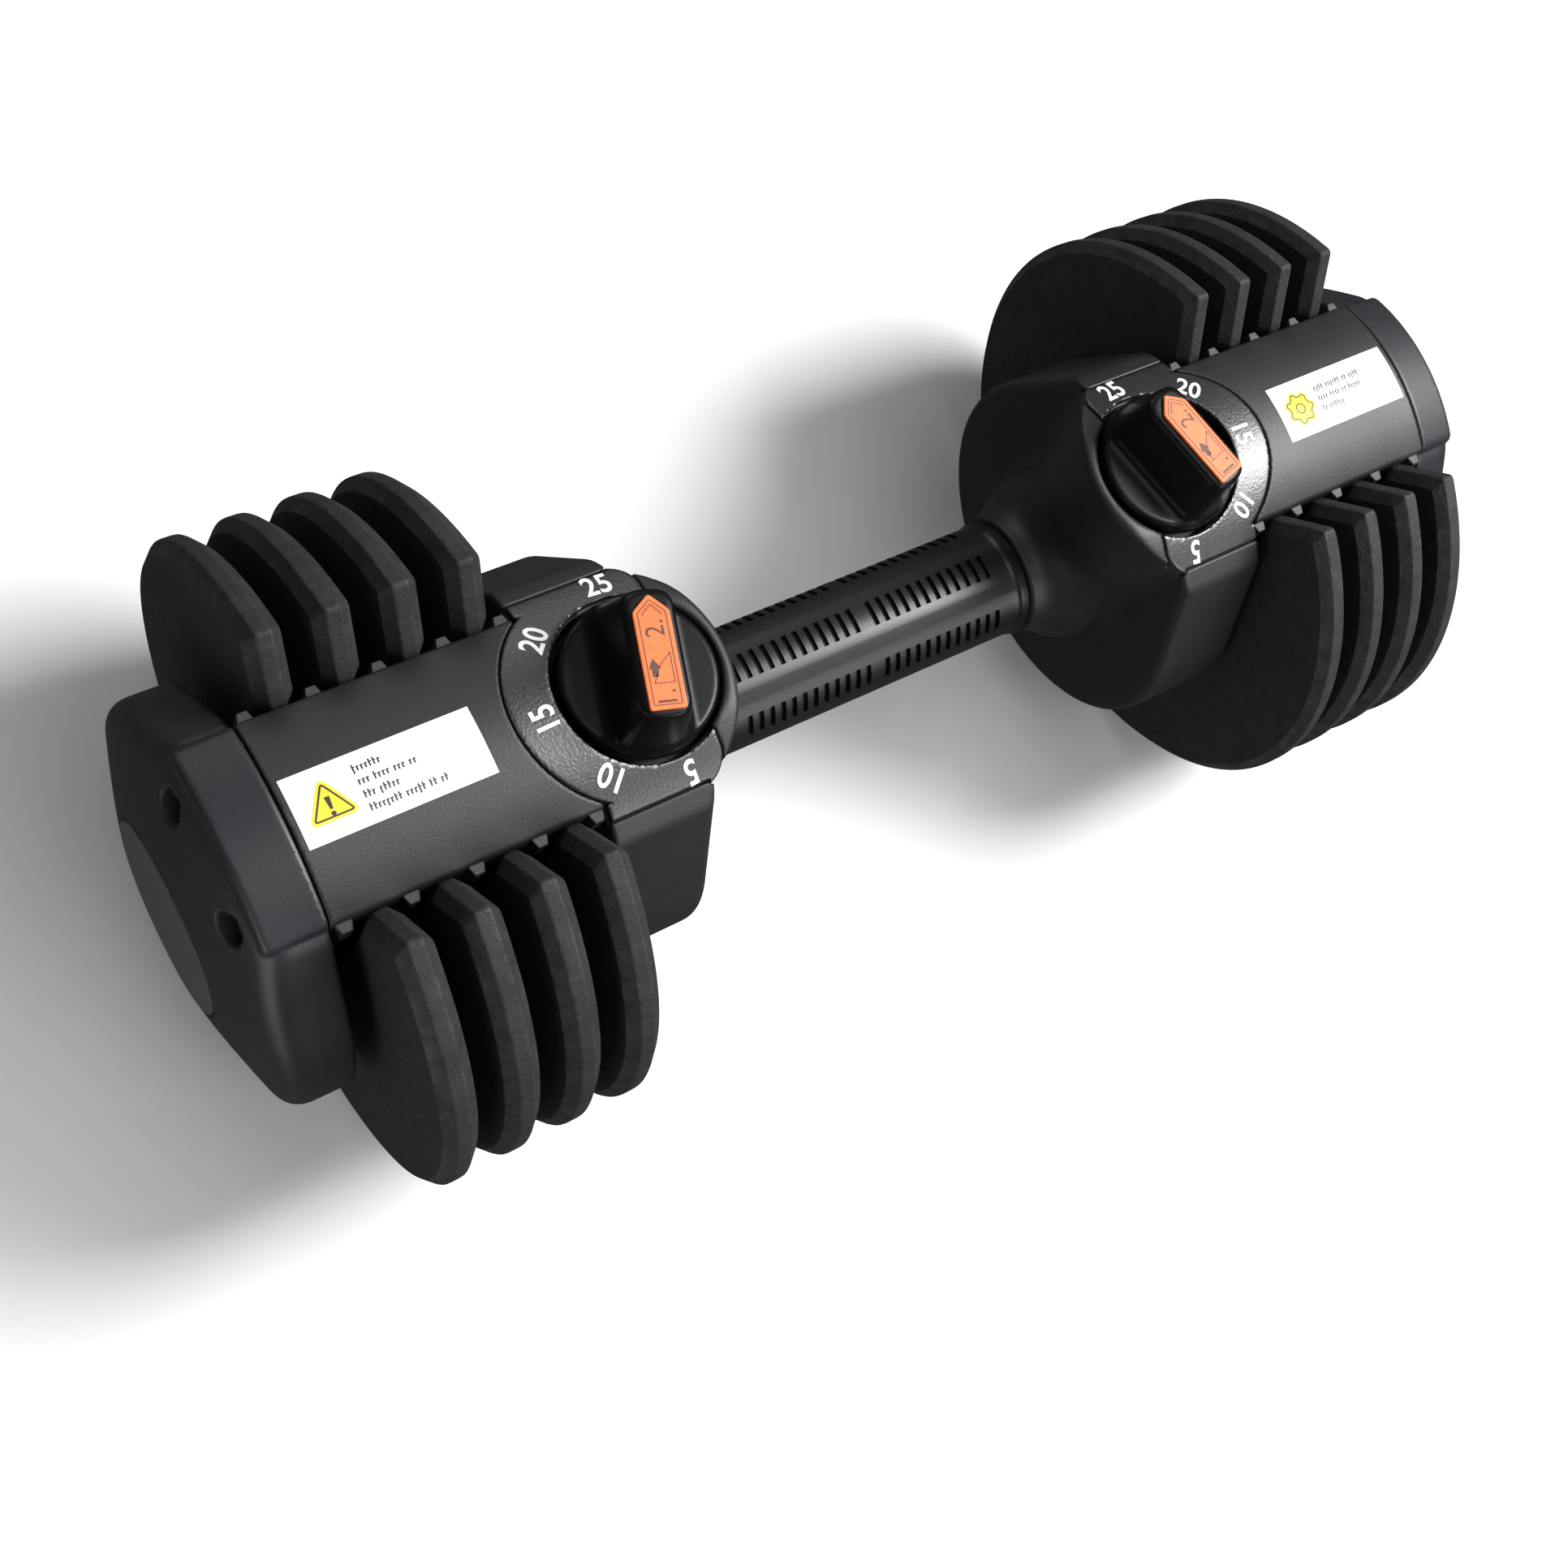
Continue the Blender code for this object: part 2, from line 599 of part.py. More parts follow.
def dial_spring():
    turns, per_turn, radius, wire = 4, 8, 7.2, 0.7
    low, high = 29.0 + wire, 41.5 - wire
    curve = bpy.data.curves.new("right_dial_spring", "CURVE")
    curve.dimensions = "3D"
    curve.bevel_depth = wire * MM
    curve.bevel_resolution = 1
    curve.use_fill_caps = True
    spline = curve.splines.new("POLY")
    count = turns * per_turn
    spline.points.add(count)
    for i, point in enumerate(spline.points):
        turn = 2 * math.pi * i / per_turn
        x = DIAL_X + radius * math.cos(turn)
        y = radius * math.sin(turn)
        z = low + (high - low) * i / count
        point.co = (x * MM, y * MM, z * MM, 1.0)
    wire_object = bpy.data.objects.new("spring_wire", curve)
    PARTS.objects.link(wire_object)
    mesh = evaluated_mesh(wire_object)
    bpy.data.objects.remove(wire_object)
    bm = bmesh.new()
    bm.from_mesh(mesh)
    bpy.data.meshes.remove(mesh)
    return as_object("right_dial_spring", mesh_from_bmesh(bm), (STEEL, 0.3, 1.0))


def dial_shaft():
    """Upright shaft: a square head for the knob, a spring seat and a crown gear."""
    root = GEAR_RADIUS + 1.2
    shaft = turned("right_dial_shaft", [
        (0, 40), (SHAFT_RADIUS, 40), (SHAFT_RADIUS, 28.7), (10, 28.7), (10, 27),
        (SHAFT_RADIUS, 27), (SHAFT_RADIUS, 19.5), (15.5, 19.5), (15.5, root), (0, root)],
        "Z", 16, (STEEL, 0.35, 1.0))
    shaft.data.transform(Matrix.Translation(Vector((DIAL_X, 0, 0)) * MM))
    head = box("shaft_head", (DIAL_X - 2.8, -2.8, 38), (DIAL_X + 2.8, 2.8, 53.5))
    teeth = []
    inner, outer = GEAR_RADIUS - GEAR_FACE / 2, GEAR_RADIUS + GEAR_FACE / 2
    for i in range(GEAR_TEETH):
        tooth = box("tooth", (inner, -TOOTH_WIDTH / 2, GEAR_RADIUS - 0.75),
                    (outer, TOOTH_WIDTH / 2, root + 0.4))
        turn = Matrix.Rotation(2 * math.pi * (i + 0.5) / GEAR_TEETH, 4, "Z")
        tooth.data.transform(Matrix.Translation(Vector((DIAL_X, 0, 0)) * MM) @ turn)
        teeth.append(tooth)
    join(shaft, head, merged("crown_teeth", teeth))
    return shaft


def gear_outline(tip, root, teeth, half_tooth):
    """A spur gear's outline with one tooth straight up."""
    points = []
    for i in range(teeth):
        middle = math.pi / 2 - 2 * math.pi * i / teeth
        for radius, side in ((root, 1), (tip, 1), (tip, -1), (root, -1)):
            angle = middle + side * math.asin(half_tooth / radius)
            points.append((radius * math.cos(angle), radius * math.sin(angle)))
    return points


def selector_gear():
    outline = gear_outline(GEAR_RADIUS + 0.75, GEAR_RADIUS - 1.1, GEAR_TEETH, TOOTH_WIDTH / 2)
    start = DIAL_X + GEAR_RADIUS - GEAR_FACE / 2
    return prism("right_selector_gear", [outline, circle(SHAFT_HOLE, 12)],
                 start, start + GEAR_FACE, "X", (STEEL, 0.35, 1.0))


def selector_shaft():
    return cylinder("right_selector_shaft", SHAFT_RADIUS, 90.0, 172.5, "X", (0, 0), 12,
                    (STEEL, 0.35, 1.0))


def selector_disc(index):
    """A cam with a rim under the plate's hook; its rim ends where the plate lets go.

    The outermost plate lets go after one step of the dial, the innermost after four.
    """
    release = PLATE_COUNT - index
    start = plate_x(index) + PLATE_THICKNESS + 0.5
    flange_start, end = start + 3.5, start + 5.1
    name = "right_selector_disc_%d" % (index + 1)
    bore = circle(SHAFT_HOLE, 12)
    disc = prism(name, [circle(DISC_RADIUS, 24), bore], flange_start, end, "X",
                 (STEEL, 0.4, 1.0))
    half_step = STEP_ANGLE / 2
    first = -90 - STEP_ANGLE * release + half_step
    last = -90 + 360 - STEP_ANGLE * PLATE_COUNT - half_step
    steps = round((last - first) / 16)
    inner = DISC_RADIUS - DISC_RIM
    rim = arc((0, 0), DISC_RADIUS, first, last, steps) + arc((0, 0), inner, last, first, steps)
    join(disc, prism(name + "_rim", [rim], start, flange_start + 0.4, "X"),
         prism(name + "_hub", [circle(5.6, 12), bore], start, flange_start + 0.4, "X"))
    return disc


# Assembly ---------------------------------------------------------------------------
def bake(obj):
    """Apply the modifiers, so that the mirrored copy starts from the finished solid."""
    mesh = evaluated_mesh(obj)
    looks = list(obj.data.materials)
    obj.modifiers.clear()
    obj.matrix_world = Matrix.Identity(4)
    obj.data = mesh
    mesh.materials.clear()
    mesh.materials.append(looks[0])
    mesh.name = obj.name
    return obj


def mirror_to_left(obj):
    """The left side's copy of a finished piece of the right side."""
    mesh = obj.data.copy()
    mesh.transform(Matrix.Scale(-1, 4, Vector((1, 0, 0))))
    mesh.flip_normals()
    name = obj.name.replace("right_", "left_")
    mesh.name = name
    left_look = mesh.materials[0].copy()
    left_look.name = name
    mesh.materials[0] = left_look
    copy = bpy.data.objects.new(name, mesh)
    PARTS.objects.link(copy)
    return copy


def set_origin(obj, point):
    """Move an object's origin without moving its shape."""
    spot = Vector(point) * MM
    obj.data.transform(Matrix.Translation(-spot))
    obj.location = spot


def build():
    handle = make_handle()
    fixed = [inner_housing(), dial_panel(), bulkhead(), gear_bracket(), lock_ring(), channel(),
             bridge_cover(), end_plate(), end_cap(), end_badge(),
             cap_screw("right_cap_screw_far", 1), cap_screw("right_cap_screw_near", -1),
             tie_nut()]
    first_plate = weight_plate()
    dial = [dial_knob(), dial_pointer(), lock_plate(), dial_spring(), dial_shaft()]
    selector = [selector_shaft(), selector_gear()]
    selector += [selector_disc(i) for i in range(PLATE_COUNT)]
    for piece in handle + fixed + dial + selector + [first_plate]:
        bake(piece)
    fixed.append(first_plate)
    for i in range(1, PLATE_COUNT):
        fixed.append(copied_along(first_plate, "right_plate_%d" % (i + 1), PLATE_PITCH * i))
    everything = handle + fixed + dial + selector
    everything += [mirror_to_left(piece) for piece in fixed + dial + selector]
    turning = {piece.name.replace("right_", "") for piece in dial}
    for piece in everything:
        side, _, plain = piece.name.partition("_")
        if plain in turning:
            set_origin(piece, (DIAL_X if side == "right" else -DIAL_X, 0, 0))
    for piece in everything:
        piece.location.z += AXIS_HEIGHT * MM
    bpy.context.view_layer.update()


build()
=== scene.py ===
# %% [markdown]
# # An adjustable dumbbell, surface by surface
# Two weight modules sit at the ends of a grip. Each module has a teardrop housing with a
# dial on top, a crowned bridge over four cast plates, and a domed end cap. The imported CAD
# model fixes every place and every motion; this lesson puts the visible surfaces round it.

# %% Load the frame
import json
import math

import bpy
import numpy as np
from mathutils import Matrix, Vector


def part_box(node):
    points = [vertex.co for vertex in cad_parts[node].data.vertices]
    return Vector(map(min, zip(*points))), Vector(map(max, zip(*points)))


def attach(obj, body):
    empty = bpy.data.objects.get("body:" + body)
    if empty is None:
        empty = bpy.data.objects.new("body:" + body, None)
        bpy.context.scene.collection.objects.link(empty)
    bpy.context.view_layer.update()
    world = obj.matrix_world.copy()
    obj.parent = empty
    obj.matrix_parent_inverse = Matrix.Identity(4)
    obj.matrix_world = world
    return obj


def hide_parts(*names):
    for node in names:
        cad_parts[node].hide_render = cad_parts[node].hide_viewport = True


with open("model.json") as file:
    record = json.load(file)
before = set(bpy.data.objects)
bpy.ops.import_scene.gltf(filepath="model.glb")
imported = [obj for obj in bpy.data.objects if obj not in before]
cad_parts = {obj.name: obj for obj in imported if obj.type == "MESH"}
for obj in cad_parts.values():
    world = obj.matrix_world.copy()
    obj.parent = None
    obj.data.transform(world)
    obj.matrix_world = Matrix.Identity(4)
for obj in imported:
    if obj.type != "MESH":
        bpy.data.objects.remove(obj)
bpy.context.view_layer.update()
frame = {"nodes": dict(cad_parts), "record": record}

MM = 0.001
grip_low, grip_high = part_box("grip_sleeve")
AXIS_HEIGHT = (grip_low[2] + grip_high[2]) / 2
dial_low, dial_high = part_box("right_dial_knob")
DIAL_X = (dial_low[0] + dial_high[0]) / 2 / MM
SIDES = {"right": 1, "left": -1}
print("handle axis", round(AXIS_HEIGHT, 4), "m up; dial axis", round(DIAL_X, 2), "mm out")

# %% [markdown]
# ## Measures
# All shapes are drawn in millimetres for the right-hand module: x runs outwards along the
# handle, y across it, and z up from the handle's axis. The left module is the same shape
# with x turned round, which is why a mirrored piece also has its faces turned round.

# %% Measures shared by several pieces
HOUSING_FACE, HOUSING_END = 73.6, 100.9
HOUSING_RADIUS, HOUSING_TOP = 51.7, 63.4
HOUSING_CORNER = (29.4, 63.4)
CAP_RADIUS, CAP_CORNER = 52.8, (25.2, 57.0)
SEAM, CAP_REACH, BLOCK_END = 167.0, 189.5, 181.2
SCREW_OFFSET, SCREW_HEIGHT, BADGE_HEIGHT = 14.9, 48.6, 6.5
CORE_HALF_WIDTH, CROWN_EDGE, CROWN_HEIGHT, SKIRT_BOTTOM = 24.8, 59.5, 66.0, 50.4
PLATE_START, PLATE_PITCH, PLATE_RADIUS = 105.1, 15.5, 85.0
SLOT_HALF_WIDTH, SLOT_MOUTH, ARM_CORNER = 25.2, 57.5, 37.0
PANEL_X, PANEL_RADIUS, PANEL_THICKNESS, PANEL_HALF_WIDTH = 85.1, 28.4, 3.0, 28.4
KNOB_RADIUS, KNOB_BOTTOM, KNOB_TOP, RIDGE_TOP = 19.3, 58.0, 65.0, 82.3
RECESS_RADIUS, RECESS_FLOOR = 20.5, 52.0
POINTER_ANGLE, DIGIT_RADIUS = 106.0, 25.5
GRIP_RADIUS, GRIP_END = 16.5, 52.0
CROWN_RADIUS = ((CORE_HALF_WIDTH ** 2 + (CROWN_HEIGHT - CROWN_EDGE) ** 2)
                / (2 * (CROWN_HEIGHT - CROWN_EDGE)))
print("crown radius", round(CROWN_RADIUS, 1), "mm")

# %% [markdown]
# ## Putting arrays into meshes
# A piece's points arrive as one array and its faces as another, so `from_pydata` takes them
# whole. The object itself stays at the origin, as a CAD node's does.


# %% Mesh helper
def make_piece(name, points, faces, finish, body, slot, stands_for=(), crease=None):
    """A mesh from points in millimetres about the handle axis, riding on a CAD body.

    Given a crease angle in degrees, sharper edges stay sharp and big flat faces rule the
    shading, so a flat face looks flat.
    """
    place = np.asarray(points, float) * MM
    place[:, 2] += AXIS_HEIGHT
    mesh = bpy.data.meshes.new(name)
    mesh.from_pydata(place, [], [list(map(int, face)) for face in faces])
    mesh.update()
    mesh.shade_smooth()
    mesh.materials.append(finish)
    piece = bpy.data.objects.new(name, mesh)
    if crease:
        mesh.set_sharp_from_angle(angle=math.radians(crease))
        flatten = piece.modifiers.new("flat faces", "WEIGHTED_NORMAL")
        flatten.keep_sharp = True
    bpy.context.scene.collection.objects.link(piece)
    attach(piece, body)
    if stands_for:
        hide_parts(*stands_for)
    return piece


def handed(points, faces, side):
    """The shape itself for the right module, or its mirror image for the left one."""
    if side > 0:
        return points, faces
    return points * (-1, 1, 1), [face[::-1] for face in faces]


# %% [markdown]
# ## Moulded shapes from distances
# The housing, end cap, bridge and knob are plastic mouldings: simple solids that run into
# each other with soft fillets. A *distance field* says how far any point is from such a
# solid, negative inside. Two solids are joined by the smaller of their distances, and a
# softened smaller-of gives the fillet. A grid of values is then skinned: each cell that the
# surface passes through gets one vertex, and each grid edge it crosses gets one quad.


# %% Distance fields
def soft_min(first, second, fillet):
    """Joins two distance fields, filling the crease between them over `fillet` millimetres."""
    share = np.clip(0.5 + 0.5 * (second - first) / fillet, 0, 1)
    return second + (first - second) * share - fillet * share * (1 - share)


def soft_max(first, second, fillet):
    """Keeps what two fields share, with the edge between them rounded over `fillet`."""
    return -soft_min(-first, -second, fillet)


def carve(solid, hollow, edge=0.5):
    """Takes a hollow out of a solid and breaks the edge it leaves."""
    return soft_max(solid, -hollow, edge)


def slab(value, low, high):
    """Distance to the layer between two parallel planes."""
    return np.maximum(low - value, value - high)


def shoulder(y, z, radius, corner):
    """A round section whose flanks rise, tangent to the circle, to a corner above.

    Below the tangent point it is distance from the axis less the radius; above it, the
    distance along the flank's normal less the radius.
    """
    reach = math.hypot(*corner)
    lean = math.atan2(corner[1], corner[0]) - math.acos(radius / reach)
    across, up = np.abs(y), z
    along_flank = up * math.cos(lean) - across * math.sin(lean)
    off_flank = across * math.cos(lean) + up * math.sin(lean) - radius
    return np.where(along_flank < 0, np.hypot(y, z) - radius, off_flank)


def eased(value, knots, levels, softness):
    """Linear steps between knots, run through a moving average so that no crease shows."""
    spread = np.linspace(min(knots) - 20, max(knots) + 20, 800)
    order = np.argsort(knots)
    line = np.interp(spread, np.asarray(knots)[order], np.asarray(levels)[order])
    width = max(1, int(softness / (spread[1] - spread[0])))
    padded = np.pad(line, width, mode="edge")
    blurred = np.convolve(padded, np.ones(width) / width, mode="same")[width:-width]
    return np.interp(value, spread, blurred)


# %% The crown
def crown_at(y):
    """Height of the bridge's crown: z = top - R + sqrt(R^2 - y^2)."""
    return CROWN_HEIGHT - CROWN_RADIUS + np.sqrt(np.maximum(CROWN_RADIUS ** 2 - y ** 2, 100.0))


# %% Skin a field
def skin(field, low, high, step):
    """Points and quads of the surface where a distance field is zero.

    A vertex is the mean of the crossings on its cell's twelve edges, then is moved three
    times along the gradient by value over gradient, which puts it on the surface.
    """
    axes = [np.arange(a - step, b + 2 * step, step) for a, b in zip(low, high)]
    value = field(*np.meshgrid(*axes, indexing="ij"))
    shape = value.shape
    stride = np.array([shape[1] * shape[2], shape[2], 1])
    total, count, quads = np.zeros((3, value.size)), np.zeros(value.size), []
    for axis in range(3):
        near = np.take(value, range(shape[axis] - 1), axis)
        far = np.take(value, range(1, shape[axis]), axis)
        crossing = np.argwhere((near < 0) != (far < 0))
        start, end = near[tuple(crossing.T)], far[tuple(crossing.T)]
        point = crossing.astype(float)
        point[:, axis] += start / (start - end)
        over, up = stride[(axis + 1) % 3], stride[(axis + 2) % 3]
        cells = (crossing @ stride)[:, None] + np.array([0, -over, -over - up, -up])
        for cell in cells.T:
            count += np.bincount(cell, minlength=value.size)
            for part in range(3):
                total[part] += np.bincount(cell, point[:, part], value.size)
        quads.append(np.where((start < 0)[:, None], cells, cells[:, ::-1]))
    quads = np.concatenate(quads)
    used, faces = np.unique(quads, return_inverse=True)
    origin = np.array([axis[0] for axis in axes])
    points = origin + step * (total[:, used] / count[used]).T
    nudge = step * 0.05
    for _ in range(3):
        here = field(*points.T)
        slope = np.stack([field(*(points + nudge * way).T) - field(*(points - nudge * way).T)
                          for way in np.eye(3)], 1) / (2 * nudge)
        steep = np.maximum((slope ** 2).sum(1), 0.1)
        move = slope * (here / steep)[:, None]
        points -= np.clip(move, -0.4 * step, 0.4 * step)
    return points, faces.reshape(quads.shape)


# %% [markdown]
# ## Shader maths
# A small class wraps a socket so that masks can be written as plain expressions. Every
# finish below is noise and masks in Object coordinates, in metres, so the grain has its real
# size and stays put when a piece moves.


# %% A socket that does arithmetic
class Wire:
    """A value in a node tree; +, -, * and / between values add Math nodes."""

    def __init__(self, tree, socket):
        self.tree, self.socket = tree, socket

    def maths(self, operation, *values):
        node = self.tree.nodes.new("ShaderNodeMath")
        node.operation = operation
        for place, value in zip(node.inputs, values):
            if isinstance(value, Wire):
                self.tree.links.new(value.socket, place)
            else:
                place.default_value = value
        return Wire(self.tree, node.outputs[0])

    def __add__(self, other):
        return self.maths("ADD", self, other)

    def __sub__(self, other):
        return self.maths("SUBTRACT", self, other)

    def __rsub__(self, other):
        return self.maths("SUBTRACT", other, self)

    def __mul__(self, other):
        return self.maths("MULTIPLY", self, other)

    def __truediv__(self, other):
        return self.maths("DIVIDE", self, other)

    def clamped(self):
        return self.maths("MINIMUM", self.maths("MAXIMUM", self, 0.0), 1.0)

    def band(self, low, high):
        """0 below `low`, 1 above `high`, a straight ramp between."""
        return ((self - low) / (high - low)).clamped()

    __radd__, __rmul__ = __add__, __mul__


class Finish:
    """A material being wired: its tree, its Principled shader and its coordinates."""

    def __init__(self, name, **fixed):
        self.material = bpy.data.materials.new(name)
        self.material.use_nodes = True
        self.tree = self.material.node_tree
        self.shader = self.tree.nodes["Principled BSDF"]
        for key, value in fixed.items():
            self.shader.inputs[key.replace("_", " ")].default_value = value
        self.place = self.node("ShaderNodeTexCoord", output="Object")

    def node(self, kind, settings=None, output=0, **inputs):
        """Any other node: its settings first, then the values or links of its sockets."""
        made = self.tree.nodes.new(kind)
        for key, value in (settings or {}).items():
            setattr(made, key, value)
        for key, value in inputs.items():
            socket = made.inputs[key.replace("_", " ")]
            if isinstance(value, Wire):
                self.tree.links.new(value.socket, socket)
            else:
                socket.default_value = value
        return Wire(self.tree, made.outputs[output])

    def noise(self, size_mm, detail=2.0, rough=0.5):
        """Noise whose blotches are about size_mm across, from 0 to 1."""
        return self.node("ShaderNodeTexNoise", Vector=self.place, Scale=1000.0 / size_mm,
                         Detail=detail, Roughness=rough)

    def attribute(self, name):
        """A value stored on the piece's points; it reads 0 on a piece that has none."""
        return self.node("ShaderNodeAttribute", {"attribute_name": name}, output="Fac")

    def mix(self, factor, first, second):
        """The first colour where the factor is 0, the second where it is 1."""
        made = self.tree.nodes.new("ShaderNodeMix")
        made.data_type = "RGBA"
        self.tree.links.new(factor.socket, made.inputs[0])
        for place, value in ((made.inputs[6], first), (made.inputs[7], second)):
            if isinstance(value, Wire):
                self.tree.links.new(value.socket, place)
            else:
                place.default_value = (*value, 1.0)
        return Wire(self.tree, made.outputs[2])

    def bump(self, height, depth_mm):
        """Relief whose height of 1 stands for depth_mm."""
        self.set("Normal", self.node("ShaderNodeBump", Height=height, Distance=depth_mm * MM,
                                     Strength=1.0))

    def set(self, socket, wire):
        self.tree.links.new(wire.socket, self.shader.inputs[socket])


# %% [markdown]
# ## Finishes
# The mouldings are charcoal nylon with the fine even grain that spark-eroded moulds leave.
# The end caps are a touch bluer, the knob is smoother, and the cast plates carry a thick
# sandy powder coat that has rubbed lighter on its edges.


# %% Moulded plastics
# Near black painted down the screw wells as their shade.
WELL_PAINTED_SHADE = (0.001, 0.001, 0.001)
CLOUD_DULLS, GRAIN_DULLS, WELL_DULLS = 0.08, 0.04, 0.5


def moulded(name, dark, light, grain_mm, depth_mm, roughness, shine=0.5):
    """Plastic with an eroded grain: fine noise in the bump, faint blotches in the colour.

    A point attribute is 1 down narrow wells; there the colour is painted near black as
    shade, since little light gets into them, and the surface turns matt.
    """
    finish = Finish(name, Specular_IOR_Level=shine)
    grain = finish.noise(grain_mm, 1.0)
    cloud = finish.noise(28.0, 3.0)
    tone = (cloud * 0.6 + grain * 0.4).band(0.3, 0.7)
    well_shade = finish.attribute("well_shade")
    # Down the wells the colour is mixed to near black: painted shade.
    finish.set("Base Color", finish.mix(well_shade, finish.mix(tone, dark, light), WELL_PAINTED_SHADE))
    finish.set("Roughness", (roughness - CLOUD_DULLS / 2) + cloud * CLOUD_DULLS
               + grain * GRAIN_DULLS + well_shade * WELL_DULLS)
    finish.bump(grain, depth_mm)
    return finish.material


charcoal = moulded("charcoal nylon", (0.0085, 0.009, 0.0105), (0.0125, 0.013, 0.015),
                   0.55, 0.05, 0.50, 0.6)
panel_grain = moulded("dial panel grain", (0.0095, 0.010, 0.011), (0.018, 0.0185, 0.020),
                      0.75, 0.09, 0.37, 0.95)
cap_blue = moulded("blue black nylon", (0.0085, 0.0095, 0.0125), (0.012, 0.0135, 0.018),
                   0.55, 0.03, 0.46, 0.75)
knob_black = moulded("satin black nylon", (0.0030, 0.0030, 0.0034), (0.0045, 0.0045, 0.005),
                     0.8, 0.012, 0.32, 0.2)
grip_black = moulded("satin grip", (0.005, 0.005, 0.006), (0.008, 0.008, 0.0095),
                     0.7, 0.015, 0.34)
acetal = moulded("natural acetal", (0.50, 0.48, 0.43), (0.58, 0.56, 0.51), 0.9, 0.01, 0.42)


# %% Sandy cast plates
def cast_coat():
    """Sandy coat: two sizes of grit in the bump, paler specks, and rubbed pale edges."""
    finish = Finish("sandy cast coat")
    grit, lumps = finish.noise(0.9, 3.0, 0.6), finish.noise(3.2, 3.0, 0.6)
    cloud, scuff = finish.noise(24.0, 4.0), finish.noise(6.0, 5.0, 0.7)
    worn = (finish.attribute("wear") * scuff.band(0.42, 0.62)).clamped()
    speck = grit.band(0.58, 0.70) * 0.5
    tone = finish.mix(cloud.band(0.2, 0.8), (0.0095, 0.0098, 0.0105), (0.0135, 0.0138, 0.0145))
    tone = finish.mix(speck, tone, (0.035, 0.035, 0.037))
    tone = finish.mix(worn * 0.55, tone, (0.05, 0.05, 0.053))
    finish.set("Base Color", tone)
    finish.set("Roughness", 0.62 + grit * 0.18 - worn * 0.12)
    finish.bump(grit * 0.6 + lumps * 0.8, 0.32)
    return finish.material


def plated(name, dark, light, roughness):
    """Zinc-plated steel: fine cloudy spangle over a metal base."""
    finish = Finish(name, Metallic=1.0)
    cloud, hair = finish.noise(6.0, 4.0), finish.noise(0.5, 2.0)
    finish.set("Base Color", finish.mix(cloud.band(0.35, 0.65), dark, light))
    finish.set("Roughness", roughness + cloud * 0.12)
    finish.bump(hair, 0.01)
    return finish.material


def printed(name, colour, roughness=0.45):
    """Ink or label film: nearly even, with faint mottling and an orange-peel sheen."""
    finish = Finish(name)
    mottle, peel = finish.noise(2.0, 2.0), finish.noise(0.8, 1.0)
    paler = tuple(min(1.0, c * 1.08 + 0.004) for c in colour)
    finish.set("Base Color", finish.mix(mottle.band(0.35, 0.65), colour, paler))
    finish.set("Roughness", roughness + peel * 0.08)
    finish.bump(peel, 0.008)
    return finish.material


cast = cast_coat()
steel = plated("zinc plated steel", (0.42, 0.42, 0.43), (0.55, 0.55, 0.56), 0.28)
# Near black: painted shade where the channel and the screws show between plates and down wells.
dark_steel_and_shade = plated("dark steel and painted shade", (0.05, 0.05, 0.052), (0.08, 0.08, 0.083), 0.4)
white_ink = printed("white ink", (0.80, 0.80, 0.79))
label_white = printed("label film", (0.83, 0.84, 0.84), 0.4)
orange = printed("orange film", (0.86, 0.155, 0.03), 0.4)
print_grey = printed("grey print", (0.022, 0.022, 0.024))
print_brown = printed("brown print", (0.075, 0.025, 0.015))
print_yellow = printed("yellow print", (0.90, 0.62, 0.02), 0.4)
badge_grey = printed("satin grey", (0.060, 0.061, 0.063), 0.38)
print("finishes:", len(bpy.data.materials))

# %% [markdown]
# ## Inner housing
# The housing is a round guard next to the plates with a raised head for the dial, and a
# trumpet neck that runs down to the grip. Its three solids share soft fillets, which is what
# the distance fields are for. The dial's well, the panel's pocket and the hollow for the
# gears are carved out again.


# %% The dial panel's outline
BRIDGE_EDGE = 24.6


def arc(centre, radius, first, last, steps):
    """Points on a circle from one angle to another, in degrees."""
    turn = np.radians(np.linspace(first, last, steps + 1))
    return np.stack([centre[0] + radius * np.cos(turn), centre[1] + radius * np.sin(turn)], 1)


def panel_outline(grow):
    """Seen from above: an arc against the bridge, straight flanks, and a bite for the knob."""
    outer, half_width = PANEL_RADIUS + grow, PANEL_HALF_WIDTH + grow
    reach = math.degrees(math.asin(BRIDGE_EDGE / outer))
    edge = arc((PANEL_X, 0), outer, -reach, reach, 60)
    step_x = HOUSING_END - 0.6 + grow
    flank = np.array([(step_x, BRIDGE_EDGE + grow), (step_x, half_width), (74.5, half_width)])
    corner = arc((76.5, 22.5), 7.1 + grow, 108, 190, 16)
    end = 122 + 4 * grow
    bite = arc((DIAL_X, 0), RECESS_RADIUS + 0.8 - grow, end, -end, 100)
    far = np.concatenate([flank, corner])
    return np.concatenate([edge, far, bite, far[::-1] * (1, -1)])


def outline_field(x, y, outline):
    """Distance to a closed outline: nearest segment, negative where a ray crosses it oddly."""
    shape = x.shape
    here = np.stack([x.ravel(), y.ravel()], 1)
    best, odd = np.full(len(here), 1e9), np.zeros(len(here), bool)
    for start, end in zip(outline, np.roll(outline, -1, 0)):
        run, gap = end - start, here - start
        share = np.clip(gap @ run / max(run @ run, 1e-12), 0, 1)
        best = np.minimum(best, ((gap - share[:, None] * run) ** 2).sum(1))
        straddles = (start[1] > here[:, 1]) != (end[1] > here[:, 1])
        ahead = gap[:, 0] < run[0] * gap[:, 1] / (run[1] if abs(run[1]) > 1e-12 else 1e-12)
        odd ^= straddles & ahead
    return (np.where(odd, -1, 1) * np.sqrt(best)).reshape(shape)


# %% Housing field
HEAD_LEVELS = (-20, 0, 24, 42, 59.4, 63.4)
FLARE_X = (52, 55, 58, 61, 64, 68, 74, 82)
FLARE_RADII = (18.0, 18.2, 19.4, 21.6, 23.8, 25.6, 26.8, 28.0)
SHELL_WALL, HOLLOW_TOP = 3.2, 49.0


